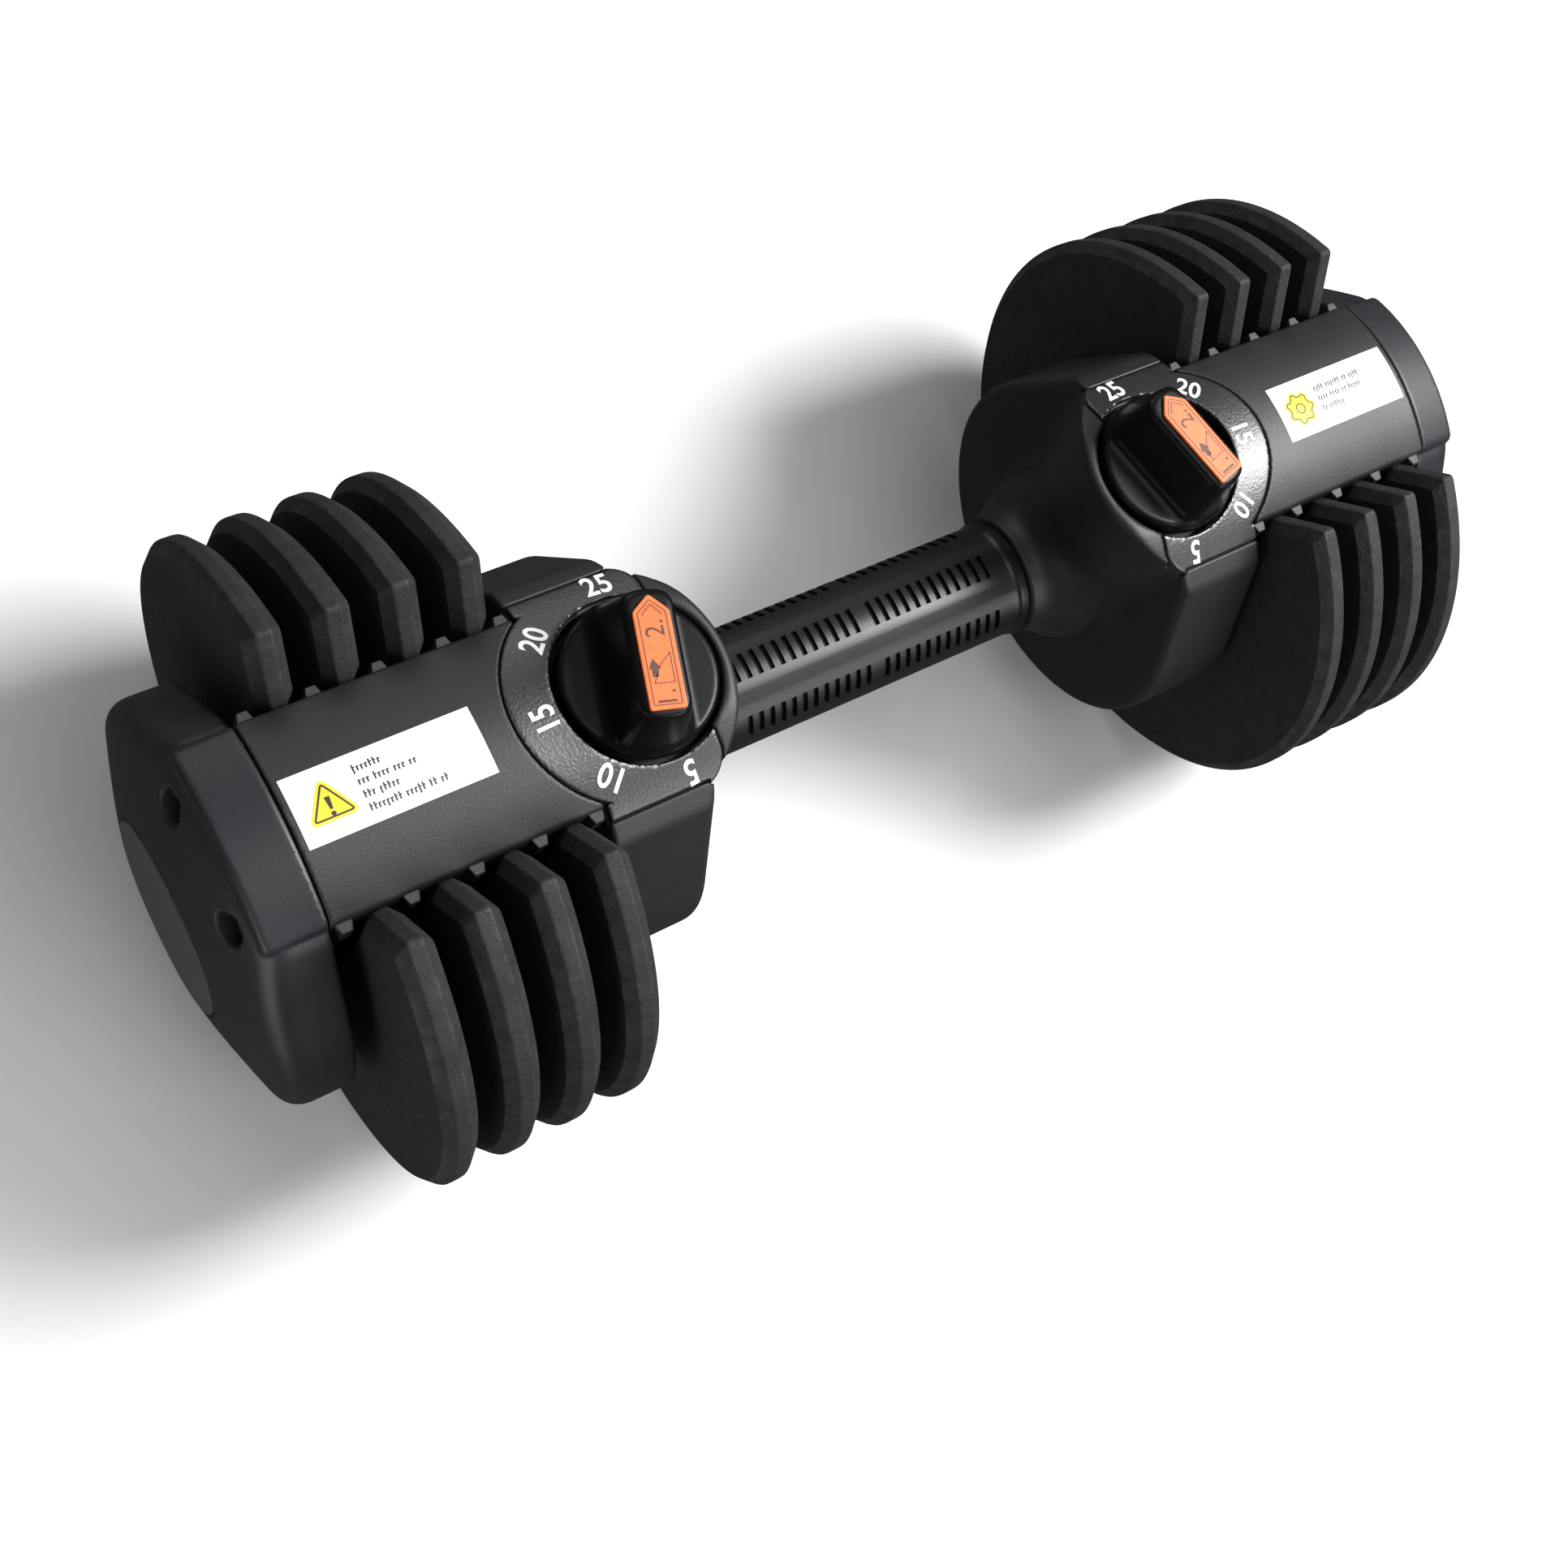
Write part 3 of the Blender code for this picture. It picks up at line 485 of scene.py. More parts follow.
def housing_field(x, y, z):
    """Guard wall, dial head and trumpet neck joined with fillets, then carved.

    The head's front and half width change with height, and the neck's radius changes along
    x. The top follows the bridge's crown, half a millimetre below it.
    """
    ring = np.hypot(y, z)
    section = soft_max(shoulder(y, z, HOUSING_RADIUS, HOUSING_CORNER), z - HOUSING_TOP, 1.2)
    wall = soft_max(section, HOUSING_FACE - x, 3.2)
    wall = soft_max(wall, x - HOUSING_END, 0.6)
    front = eased(z, HEAD_LEVELS, (72, 66, 61.5, 58.2, 57.2, 57.8), 8)
    half = eased(z, HEAD_LEVELS, (18, 24.5, 26.8, 28.6, 30.6, 30.4), 8)
    bow = half + 3.0
    head = soft_max(np.hypot(x - front - bow, y) - bow, np.abs(y) - half, 2.0)
    head = soft_max(head, slab(x, 50.0, 88.0), 0.5)
    head = soft_max(head, z - HOUSING_TOP, 2.2)
    head = soft_max(head, -14.0 - z, 8.0)
    flare = eased(x, FLARE_X, FLARE_RADII, 3)
    neck = soft_max(0.8 * (ring - flare), slab(x, GRIP_END, 80.0), 0.6)
    solid = soft_min(soft_min(head, neck, 7.0), wall, 3.0)
    solid = soft_max(solid, 0.9 * (z - crown_at(y) + 0.5), 1.0)
    inside = shoulder(y, z, HOUSING_RADIUS - SHELL_WALL, (27, HOLLOW_TOP))
    inside = soft_max(inside, z - HOLLOW_TOP, 0.5)
    solid = carve(solid, np.maximum(inside, slab(x, HOUSING_FACE + SHELL_WALL, HOUSING_END + 5)))
    from_dial = np.hypot(x - DIAL_X, y)
    solid = carve(solid, np.maximum(from_dial - RECESS_RADIUS, RECESS_FLOOR - z), 1.2)
    solid = carve(solid, np.maximum(from_dial - 9.0, slab(z, 46.0, 60.0)))
    solid = carve(solid, np.maximum(from_dial - 16.3, slab(z, 12.6, HOLLOW_TOP)))
    solid = carve(solid, np.maximum(ring - 13.2, slab(x, 40.0, 64.0)), 0.3)
    return carve(solid, np.maximum(ring - 5.5, slab(x, 60.0, 80.0)), 0.3)


# %% Housing with the panel's pocket
BED_GAP, BED_LOWEST, FAR_AWAY = 0.38, 51.0, 5.0
RIM_RADIUS, RIM_START = 21.6, 71.5
panel_bed = panel_outline(BED_GAP)


def bedded_housing(x, y, z):
    """The housing with the panel's pocket cut into its top.

    The outline's distance is slow to work out, so it is asked for only above the pocket's
    lowest point. Between outline and knob the pocket also takes the thin rim away.
    """
    solid = housing_field(x, y, z)
    near_top = z > BED_LOWEST
    pocket = np.full(x.shape, FAR_AWAY)
    pocket[near_top] = outline_field(x[near_top], y[near_top], panel_bed)
    rim = np.maximum(np.hypot(x - DIAL_X, y) - RIM_RADIUS, RIM_START - x)
    bed = crown_at(y) - PANEL_THICKNESS - 0.3
    return carve(solid, np.maximum(np.minimum(pocket, rim), bed - z), 0.35)


housing = skin(bedded_housing, (51, -53, -53), (102, 53, 64), 0.85)
print("housing:", len(housing[0]), "points,", len(housing[1]), "quads")
for side, sign in SIDES.items():
    make_piece(side + "_housing_shell", *handed(*housing, sign), charcoal, "frame", "charcoal",
               [side + "_inner_housing"])

# %% [markdown]
# ## End cap
# The cap is the same round-with-shoulders section as the housing, closed by a shallow dome.
# The bridge's crown runs on over it as a raised block, and two screws sit far down wells in
# the dome, whose walls are painted near black as shade.


# %% End cap
WELL_RADIUS, WELL_FLOOR = 4.3, 175.7


def cap_field(x, y, z):
    """Shouldered drum with a domed face, a crowned block on top and two screw wells."""
    ring = np.hypot(y, z)
    section = shoulder(y, z, CAP_RADIUS, CAP_CORNER)
    section = soft_max(section, z - CAP_CORNER[1], 4.0)
    from_badge = np.hypot(y, z - BADGE_HEIGHT)
    dome = 0.92 * (x - CAP_REACH + 0.17 * np.maximum(from_badge - 25.0, 0) ** 1.15)
    drum = soft_max(soft_max(section, dome, 5.0), SEAM - x, 0.6)
    crown_top = CROWN_HEIGHT - 0.17 * (x - SEAM)
    crown = np.hypot(y, z - (crown_top - CROWN_RADIUS)) - CROWN_RADIUS
    block = soft_max(crown, np.abs(y) - CORE_HALF_WIDTH, 1.8)
    block = soft_max(soft_max(block, x - BLOCK_END, 1.5), SEAM - x, 0.6)
    block = soft_max(block, 46.0 - z, 0.5)
    solid = soft_min(drum, block, 0.5)
    inside = np.maximum(shoulder(y, z, CAP_RADIUS - SHELL_WALL, (22.4, 52.4)), z - 52.4)
    inside_end = 180.0 - 0.5 * np.maximum(ring - 36.0, 0)
    solid = carve(solid, np.maximum(inside, slab(x, SEAM - 5, inside_end)))
    for y_screw in (-SCREW_OFFSET, SCREW_OFFSET):
        well = np.hypot(y - y_screw, z - SCREW_HEIGHT)
        solid = soft_min(solid, np.maximum(well - 6.2, slab(x, 171.0, 181.0)), 0.3)
        solid = carve(solid, np.maximum(well - WELL_RADIUS, WELL_FLOOR - x), 0.3)
        solid = carve(solid, np.maximum(well - 2.3, slab(x, 165.0, 180.0)), 0.3)
    return carve(solid, np.maximum(from_badge - 25.3, 188.0 - x), 0.4)


cap = skin(cap_field, (167, -54, -54), (190, 54, 67), 0.8)
print("end cap:", len(cap[0]), "points,", len(cap[1]), "quads")
for side, sign in SIDES.items():
    shell = make_piece(side + "_cap_shell", *handed(*cap, sign), cap_blue, "frame", "charcoal",
                       [side + "_end_cap"])
    # Marks the screw wells, where the finish paints the colour near black as shade.
    from_screw = np.hypot(np.abs(cap[0][:, 1]) - SCREW_OFFSET, cap[0][:, 2] - SCREW_HEIGHT)
    in_well = np.minimum(WELL_RADIUS + 0.6 - from_screw, cap[0][:, 0] - 174.0)
    well_shade = shell.data.attributes.new("well_shade", "FLOAT", "POINT")
    well_shade.data.foreach_set("value", np.clip(in_well, 0, 1))

# %% [markdown]
# ## Bridge
# A crowned cover carries the label and closes the slots of all four plates. It is a thin
# shell: the crown, less the same crown a little lower. Its tabs are made further down, once
# there is a helper for small extruded shapes.


# %% Bridge cover
BRIDGE_WALL = 2.4


def bridge_field(x, y, z):
    """A crowned strip with thin skirts and a bite for the panel."""
    centre = CROWN_HEIGHT - CROWN_RADIUS
    crown = np.hypot(y, z - centre) - CROWN_RADIUS
    block = soft_max(crown, np.abs(y) - CORE_HALF_WIDTH, 0.9)
    block = np.maximum(block, SKIRT_BOTTOM - z)
    under = np.maximum(crown + BRIDGE_WALL, np.abs(y) - CORE_HALF_WIDTH + BRIDGE_WALL)
    solid = carve(block, under, 0.3)
    solid = soft_max(solid, slab(x, HOUSING_END + 0.3, SEAM - 0.3), 0.45)
    return carve(solid, np.hypot(x - PANEL_X, y) - PANEL_RADIUS - 0.3, 0.45)


bridge = skin(bridge_field, (101, -28, 50), (167, 28, 66.2), 0.55)
print("bridge:", len(bridge[0]), "points,", len(bridge[1]), "quads")
for side, sign in SIDES.items():
    make_piece(side + "_bridge_shell", *handed(*bridge, sign), charcoal, "frame", "charcoal",
               [side + "_bridge_cover"])

# %% [markdown]
# ## Knob
# The knob is a low disc with a tall bar across it, for thumb and finger. The bar's flanks
# run out into the disc in a scoop, and its two ends follow the disc's rim upwards.


# %% Knob
def pointer_axes(x, y):
    """Distances along the pointer and across it, from the dial's axis."""
    turn = math.radians(POINTER_ANGLE)
    dx = x - DIAL_X
    return dx * math.cos(turn) + y * math.sin(turn), y * math.cos(turn) - dx * math.sin(turn)


def knob_field(x, y, z):
    """Disc and bar joined by a wide fillet, on a square-socketed hub."""
    along, across = pointer_axes(x, y)
    from_dial = np.hypot(along, across)
    disc = soft_max(from_dial - KNOB_RADIUS, slab(z, KNOB_BOTTOM, KNOB_TOP), 1.6)
    rise = z - KNOB_TOP
    flank = 0.97 * (np.abs(across) - (9.6 - 0.21 * rise))
    bar = soft_max(flank, 0.97 * (from_dial - (18.9 - 0.19 * rise)), 3.0)
    bar = soft_max(bar, slab(z, KNOB_TOP - 4, RIDGE_TOP), 1.6)
    solid = soft_min(disc, bar, 2.6)
    solid = soft_min(solid, np.maximum(from_dial - 8.0, slab(z, 45.2, KNOB_BOTTOM + 1)), 0.3)
    square = np.maximum(np.abs(x - DIAL_X), np.abs(y)) - 3.1
    return carve(solid, np.maximum(square, slab(z, 40.0, 59.5)), 0.3)


knob = skin(knob_field, (61, -20, 45), (101, 20, 83), 0.5)
print("knob:", len(knob[0]), "points,", len(knob[1]), "quads")
for side, sign in SIDES.items():
    make_piece(side + "_knob_shell", *handed(*knob, sign), knob_black, side + "_dial", "knob",
               [side + "_dial_knob"])

# %% [markdown]
# ## Cast plates
# A plate is one outline carried through its thickness: the outline steps inwards near each
# face, which gives the broad cast chamfer. A `wear` value stored on the rings tells the
# finish where the coat has rubbed.


# %% Outlines
def rounded(corners, radius, steps):
    """A closed outline whose corners are swapped for short arcs of the given radius.

    Each arc is the quadratic curve from one tangent point to the next by way of the corner.
    """
    corners = np.asarray(corners, float)
    radii = np.broadcast_to(radius, len(corners))
    back = np.roll(corners, 1, 0) - corners
    ahead = np.roll(corners, -1, 0) - corners
    back_length, ahead_length = np.linalg.norm(back, axis=1), np.linalg.norm(ahead, axis=1)
    reach = np.minimum(radii, 0.49 * np.minimum(back_length, ahead_length))
    start = corners + back * (reach / back_length)[:, None]
    end = corners + ahead * (reach / ahead_length)[:, None]
    t = np.linspace(0, 1, steps)[None, :, None]
    bend = ((1 - t) ** 2 * start[:, None] + 2 * t * (1 - t) * corners[:, None]
            + t ** 2 * end[:, None])
    return bend.reshape(-1, 2)


def inset(outline, distance):
    """Moves a counterclockwise outline inwards along the mean of its two edge normals."""
    edge = np.roll(outline, -1, 0) - outline
    length = np.maximum(np.linalg.norm(edge, axis=1), 1e-9)
    normal = np.stack([edge[:, 1], -edge[:, 0]], 1) / length[:, None]
    both = normal + np.roll(normal, 1, 0)
    size = np.maximum((both ** 2).sum(1), 0.6)
    return outline - 2 * distance * both / size[:, None]


def lofted(rings):
    """Joins rings of equally many points with quads and closes both ends."""
    count, levels = len(rings[0]), len(rings)
    i = np.arange(count)
    j = np.roll(i, -1)
    base = np.arange(levels - 1)[:, None] * count
    quads = np.stack([base + i, base + j, base + count + j, base + count + i], 2).reshape(-1, 4)
    faces = [tuple(q) for q in quads] + [tuple(i[::-1]), tuple(i + (levels - 1) * count)]
    return np.concatenate(rings), faces


def stacked(outline, profile, plane):
    """Carries an outline through a profile of (inset, height) pairs along one axis."""
    return lofted([np.insert(inset(outline, step_in), plane, height, axis=1)
                   for step_in, height in profile])


# %% Plates
def plate_ring(step_in):
    """The plate's outline, moved inwards everywhere by step_in.

    Right half: the rim from the flat foot up to the arm's corner, the facet down to the
    slot's mouth, the slot's wall, then half of its round floor; the left half mirrors it.
    """
    radius, wall = PLATE_RADIUS - step_in, SLOT_HALF_WIDTH + step_in
    corner_z = math.sqrt(PLATE_RADIUS ** 2 - ARM_CORNER ** 2)
    facet = np.array([ARM_CORNER - SLOT_HALF_WIDTH, corner_z - SLOT_MOUTH])
    facet /= np.linalg.norm(facet)
    start = np.array([SLOT_HALF_WIDTH, SLOT_MOUTH]) + step_in * np.array([facet[1], -facet[0]])
    mouth = start + facet * (wall - start[0]) / facet[0]
    middle = start @ facet
    corner = start + facet * (math.sqrt(middle ** 2 - start @ start + radius ** 2) - middle)
    foot = math.degrees(math.asin((AXIS_HEIGHT / MM - step_in) / radius))
    top = math.degrees(math.atan2(corner[1], corner[0]))
    rim = arc((0, 0), radius, -foot, top - 2.6, 90)
    along_rim = corner + 0.3 * np.array([corner[1], -corner[0]])
    bend = rounded([along_rim, corner, mouth, (wall, 0)], (0.1, 1.3, 1.0, 0.1), 8)[8:24]
    floor = arc((0, 0), wall, 0, -180, 40)
    right = np.concatenate([rim, bend])
    return np.concatenate([right, floor, right[::-1] * (-1, 1)])


PLATE_PROFILE = ((3.2, 0.0), (2.9, 0.06), (0.35, 2.4), (0.08, 2.75), (0.0, 3.3),
                 (0.0, 5.6), (0.08, 6.15), (0.35, 6.5), (2.9, 8.84), (3.2, 8.9))
PLATE_WEAR = (0.15, 1.0, 0.25, 1.0, 0.3, 0.3, 1.0, 0.25, 1.0, 0.15)
plate_points, plate_faces = lofted([np.insert(plate_ring(step_in), 0, height, axis=1)
                                    for step_in, height in PLATE_PROFILE])
for side, sign in SIDES.items():
    for i in range(4):
        moved = plate_points + (PLATE_START + PLATE_PITCH * i, 0, 0)
        plate = make_piece(f"{side}_cast_plate_{i + 1}", *handed(moved, plate_faces, sign), cast,
                           "frame", "cast", [f"{side}_plate_{i + 1}"], crease=40)
        wear = plate.data.attributes.new("wear", "FLOAT", "POINT")
        wear.data.foreach_set("value", np.repeat(PLATE_WEAR, len(plate_points) // len(PLATE_WEAR)))
print("plate:", len(plate_points), "points")

# %% [markdown]
# ## Dial panel and its numbers
# The numbers sit on a separate grained panel, bent to the bridge's crown and let into the
# housing's top, so a fine dark line runs round it. The digits are Blender text turned into
# meshes, about a tenth of a millimetre thick, each with its top towards the outside of the
# dial. Their height follows the crown too.


# %% Dial panel
panel_edge = panel_outline(0)


def panel_field(x, y, z):
    """The panel's outline, bent to the crown: between the crown and the same arc lower down."""
    rise = 0.9 * (z - crown_at(y))
    return soft_max(outline_field(x, y, panel_edge), np.maximum(rise, -PANEL_THICKNESS - rise), 0.6)


panel = skin(panel_field, (69, -30, 53), (114.5, 30, 67), 0.5)
print("panel:", len(panel[0]), "points")
for side, sign in SIDES.items():
    make_piece(side + "_panel_plate", *handed(*panel, sign), panel_grain, "frame", "charcoal",
               [side + "_dial_panel"], crease=30)


# %% Lettering helper
def lettering(text, height, weight, spread=1.0):
    """Flat text as points and faces, centred on the origin, with the given digit height."""
    curve = bpy.data.curves.new("lettering", "FONT")
    curve.body, curve.size, curve.offset, curve.extrude = text, 1.0, weight, 0.01
    curve.align_x, curve.align_y, curve.space_character = "CENTER", "CENTER", spread
    maker = bpy.data.objects.new("lettering", curve)
    bpy.context.scene.collection.objects.link(maker)
    graph = bpy.context.evaluated_depsgraph_get()
    mesh = maker.evaluated_get(graph).to_mesh()
    points = np.array([v.co for v in mesh.vertices])
    faces = [tuple(f.vertices) for f in mesh.polygons]
    maker.to_mesh_clear()
    bpy.data.objects.remove(maker)
    low, high = points.min(0), points.max(0)
    points = (points - (low + high) / 2) * (height / (high[1] - low[1]))
    points[:, 2] = np.sign(points[:, 2])
    return points, faces


def set_down(points, place, facing, level, thickness):
    """Turns flat lettering so that its top faces `facing` degrees and lays it at a height."""
    turn = math.radians(facing - 90)
    x = points[:, 0] * math.cos(turn) - points[:, 1] * math.sin(turn) + place[0]
    y = points[:, 0] * math.sin(turn) + points[:, 1] * math.cos(turn) + place[1]
    return np.stack([x, y, level + points[:, 2] * thickness / 2], 1)


# %% Numbers
DIAL_NUMBERS = {"25": 95.0, "20": 43.0, "15": -2.5, "10": -49.0, "5": -95.5}
for text, angle in DIAL_NUMBERS.items():
    digits, digit_faces = lettering(text, 5.8, 0.020, 1.03)
    digits = digits * (0.88, 1, 1)
    for side, sign in SIDES.items():
        facing = angle if sign > 0 else 180 - angle
        reach = math.radians(facing)
        place = (sign * DIAL_X + DIGIT_RADIUS * math.cos(reach), DIGIT_RADIUS * math.sin(reach))
        number = set_down(digits, place, facing, 0.09, 0.12)
        number[:, 2] += crown_at(number[:, 1])
        make_piece(f"{side}_number_{text}", number, digit_faces, white_ink, "frame", "charcoal",
                   crease=30)

# %% [markdown]
# ## Pointer
# The coloured strip on the knob's bar is bevelled and pointed at the end that shows the
# weight. It carries a thin printed border, the steps 1 and 2, and a small arrow.

# %% Pointer strip
POINTER_SHAPE = [(-14, -4.4), (9.8, -4.4), (14, 0), (9.8, 4.4), (-14, 4.4)]
strip_outline = rounded(POINTER_SHAPE, (0.8, 0.8, 0.9, 0.8, 0.8), 5)
STRIP_TOP = RIDGE_TOP + 1.02
strip = stacked(strip_outline, ((0.0, RIDGE_TOP + 0.3), (0.0, STRIP_TOP - 0.3),
                                (0.10, STRIP_TOP - 0.10), (0.32, STRIP_TOP)), 2)


def on_pointer(points, sign):
    """From the pointer's own axes to the dial of the right or left module."""
    turn = math.radians(POINTER_ANGLE if sign > 0 else 180 - POINTER_ANGLE)
    x = sign * DIAL_X + points[:, 0] * math.cos(turn) - points[:, 1] * math.sin(turn)
    y = points[:, 0] * math.sin(turn) + points[:, 1] * math.cos(turn)
    return np.stack([x, y, points[:, 2]], 1)


def band(outline, width, low, high):
    """A closed line of even width: the outline, its inset, and both again lower down."""
    outer, inner = outline, inset(outline, width)
    count = len(outline)
    points = np.concatenate([np.insert(ring, 2, level, axis=1) for ring, level in
                             ((outer, low), (outer, high), (inner, high), (inner, low))])
    i = np.arange(count)
    j = np.roll(i, -1)
    base = np.arange(4)[:, None] * count
    after = np.roll(base, -1, 0)
    return points, np.stack([base + i, base + j, after + j, after + i], 2).reshape(-1, 4)


def together(shapes):
    """Several shapes as one list of points and faces."""
    points, faces, offset = [], [], 0
    for shape_points, shape_faces in shapes:
        points.append(shape_points)
        faces += [tuple(int(k) + offset for k in face) for face in shape_faces]
        offset += len(shape_points)
    return np.concatenate(points), faces


def plain(corners, low, high):
    """A small flat shape with both faces closed."""
    return stacked(rounded(corners, 0.1, 3), ((0.0, low), (0.0, high)), 2)


# %% [markdown]
# ## Tabs between the plates
# The bridge keeps the plates apart with small tabs: one in each gap between two plates and
# one at each end, on both sides. All ten on a module are one piece.

# %% Bridge tabs
TAB_SPOTS = [103.0, 163.8] + [PLATE_START + PLATE_PITCH * (i + 1) - 3.3 for i in range(3)]
TAB_OUTLINE = np.array([(-1.9, 24.0), (1.9, 24.0), (1.9, 25.2),
                        (1.2, 27.3), (-1.2, 27.3), (-1.9, 25.2)])
tabs = []
for spot in TAB_SPOTS:
    for y_side in (-1, 1):
        outline = rounded(((TAB_OUTLINE + (spot, 0)) * (1, y_side))[::y_side], 0.2, 3)
        tabs.append(stacked(outline, ((0.0, SKIRT_BOTTOM), (0.0, 57.2), (0.25, 57.5)), 2))
tabs = together(tabs)
for side, sign in SIDES.items():
    make_piece(side + "_bridge_tabs", *handed(*tabs, sign), charcoal, "frame", "charcoal",
               crease=30)

# %% [markdown]
# ## Print on the pointer
# The border, the chevron and the arrow are closed lines and flat shapes a few hundredths of
# a millimetre high, joined with the two steps into one piece, which rides on the dial.

# %% Printing on the pointer
BORDER = [(-13.0, -3.4), (9.4, -3.4), (12.6, 0), (9.4, 3.4), (-13.0, 3.4)]
CHEVRON = [(9.3, -2.3), (11.6, 0), (9.3, 2.3), (8.6, 2.3), (10.9, 0), (8.6, -2.3)]
ARROW = [(-6.2, 1.0), (-4.2, 1.0), (-4.2, 0.2), (-1.7, 1.75), (-4.2, 3.0), (-4.2, 2.4),
         (-6.2, 2.4)]
PRESS_MARK = [(-7.8, 2.4), (-7.8, -2.6), (-0.4, -2.6), (-3.4, 0.4)]
low, high = STRIP_TOP - 0.02, STRIP_TOP + 0.04
two, two_faces = lettering("2.", 4.4, -0.006)
one, one_faces = lettering("1.", 4.4, -0.006)
marks = [band(rounded(BORDER, 0.4, 4), 0.24, low, high),
         band(rounded(CHEVRON, 0.05, 2), 0.16, low, high),
         (set_down(two, (5.4, 0), 90, high, 0.08), two_faces),
         (set_down(one, (-10.9, 0), 90, high, 0.08), one_faces),
         plain(ARROW, low, high),
         band(rounded(PRESS_MARK, 0.1, 2), 0.22, low, high)]
pointer_print = together(marks)
for side, sign in SIDES.items():
    make_piece(side + "_pointer_strip", on_pointer(strip[0], sign), strip[1], orange,
               side + "_dial", "orange", [side + "_dial_pointer"], crease=30)
    make_piece(side + "_pointer_print", on_pointer(pointer_print[0], sign), pointer_print[1],
               print_brown, side + "_dial", "orange", crease=30)

# %% [markdown]
# ## Grip
# The grip is a plain tube whose surface is broken by six rows of short slots. It is one grid
# of turn and distance along: the grid lines stand exactly on the slots' edges, so each slot
# gets a crisp wall from a few faces.


# %% Grip
SLOT_PITCH, SLOT_FIRST, SLOTS_PER_ROW = 3.4, 3.1, 12
SLOT_REACH, SLOT_DEPTH = 12.4, 1.4
slot_centres = SLOT_FIRST + SLOT_PITCH * np.arange(SLOTS_PER_ROW)
slot_centres = np.concatenate([-slot_centres[::-1], slot_centres])
slot_lines = (slot_centres[:, None] + (-0.80, -0.62, 0.62, 0.80)).ravel()
collar = np.array([-51.7, -51.2, -48.9, -48.2, -47.2, -45.0])
along = np.concatenate([collar, slot_lines, -collar[::-1]])
swell = np.interp(np.abs(along), (47.2, 48.2, 48.9, 51.2, 51.7), (0, 0.12, 0.6, 0.6, 0.3))
sector = np.array([-27, -24, -21, -18, -15.5, -SLOT_REACH - 0.5, -SLOT_REACH, -8, -4, 0, 4, 8,
                   SLOT_REACH, SLOT_REACH + 0.5, 15.5, 18, 21, 24])
turns = np.radians((60 * np.arange(6)[:, None] + sector - 4.0).ravel())
in_slot = ((np.abs(along[:, None] - slot_centres).min(1) < 0.7)[:, None]
           & (np.abs(np.tile(sector, 6)) <= SLOT_REACH)[None, :])
radius = GRIP_RADIUS + swell[:, None] - SLOT_DEPTH * in_slot
along = np.concatenate([[along[0]], along, [along[-1]]])
radius = np.pad(radius, ((1, 1), (0, 0)), constant_values=13.1)
grip_points = np.stack([np.broadcast_to(along[:, None], radius.shape),
                        -radius * np.sin(turns), radius * np.cos(turns)], 2)
rows, columns = radius.shape
index = np.arange(rows * columns).reshape(rows, columns)
ahead, beside = np.roll(index, -1, 0), np.roll(index, -1, 1)
grip_faces = np.stack([index, ahead, np.roll(ahead, -1, 1), beside], 2).reshape(-1, 4)
make_piece("grip_tube", grip_points.reshape(-1, 3), grip_faces[:, ::-1], grip_black, "frame", "grip",
           ["grip_sleeve"], crease=32)
print("grip:", rows, "by", columns, "grid")

# %% [markdown]
# ## Labels
# A white label lies along each bridge. A plain yellow shape stands in for its picture, and
# rows of dark strokes, none of them a letter, for its words. Everything printed is draped on
# the crown: its height is the crown's arc at that y plus a hair.


# %% Draping
def draped(shape):
    """Lifts a flat shape on to the bridge's crown; its z is kept as height above it."""
    points, faces = shape
    return np.stack([points[:, 0], points[:, 1], crown_at(points[:, 1]) + points[:, 2]], 1), faces


def sheet(x_low, x_high, y_low, y_high, low, high, strips=20):
    """A thin closed strip of rectangles across y, so that it can bend over the crown."""
    y = np.linspace(y_low, y_high, strips + 1)
    ring = np.concatenate([np.stack([y, np.full(len(y), low)], 1),
                           np.stack([y[::-1], np.full(len(y), high)], 1)])
    ends = [np.insert(ring, 0, x, axis=1) for x in (x_low, x_high)]
    count = len(ring)
    i = np.arange(count)
    j = np.roll(i, -1)
    faces = [tuple(q) for q in np.stack([i, j, j + count, i + count], 1)]
    across = np.arange(strips)
    for base, flip in ((0, -1), (count, 1)):
        caps = np.stack([across, across + 1, count - 2 - across, count - 1 - across], 1) + base
        faces += [tuple(q) for q in caps[:, ::flip]]
    return np.concatenate(ends), faces


def domed(outline, centre, low, high):
    """A filled shape in rings that shrink to its centre, so that it too can be draped."""
    scales = ((0.03, low), (0.5, low), (1.0, low), (1.0, high), (0.66, high), (0.33, high),
              (0.03, high))
    spokes = outline - centre
    return lofted([np.insert(centre + spokes * scale, 2, height, axis=1)
                   for scale, height in scales])


# %% Label pictures and strokes
def triangle(size, radius):
    """A rounded triangle with its point towards +y."""
    turns = np.radians((90, 210, 330))
    return rounded(np.stack([size * np.cos(turns), size * np.sin(turns)], 1), radius, 7)


def cog(size, depth, lobes=7):
    """A wavy wheel: radius is the mean plus a flattened cosine of the turn."""
    turn = np.linspace(0, 2 * np.pi, 140, endpoint=False)
    wave = np.tanh(2.2 * np.cos(lobes * turn)) * depth
    return np.stack([(size + wave) * np.cos(turn), (size + wave) * np.sin(turn)], 1)


def close_set(outline, step=0.7):
    """The same outline with extra points, so that no edge is longer than step."""
    points = []
    for start, end in zip(outline, np.roll(outline, -1, 0)):
        count = max(1, int(np.ceil(np.linalg.norm(end - start) / step)))
        points.append(start + (end - start) * (np.arange(count) / count)[:, None])
    return np.concatenate(points)


STROKE, LINK, STROKE_PITCH, WORD_GAP = 0.40, 0.70, 0.95, 0.75


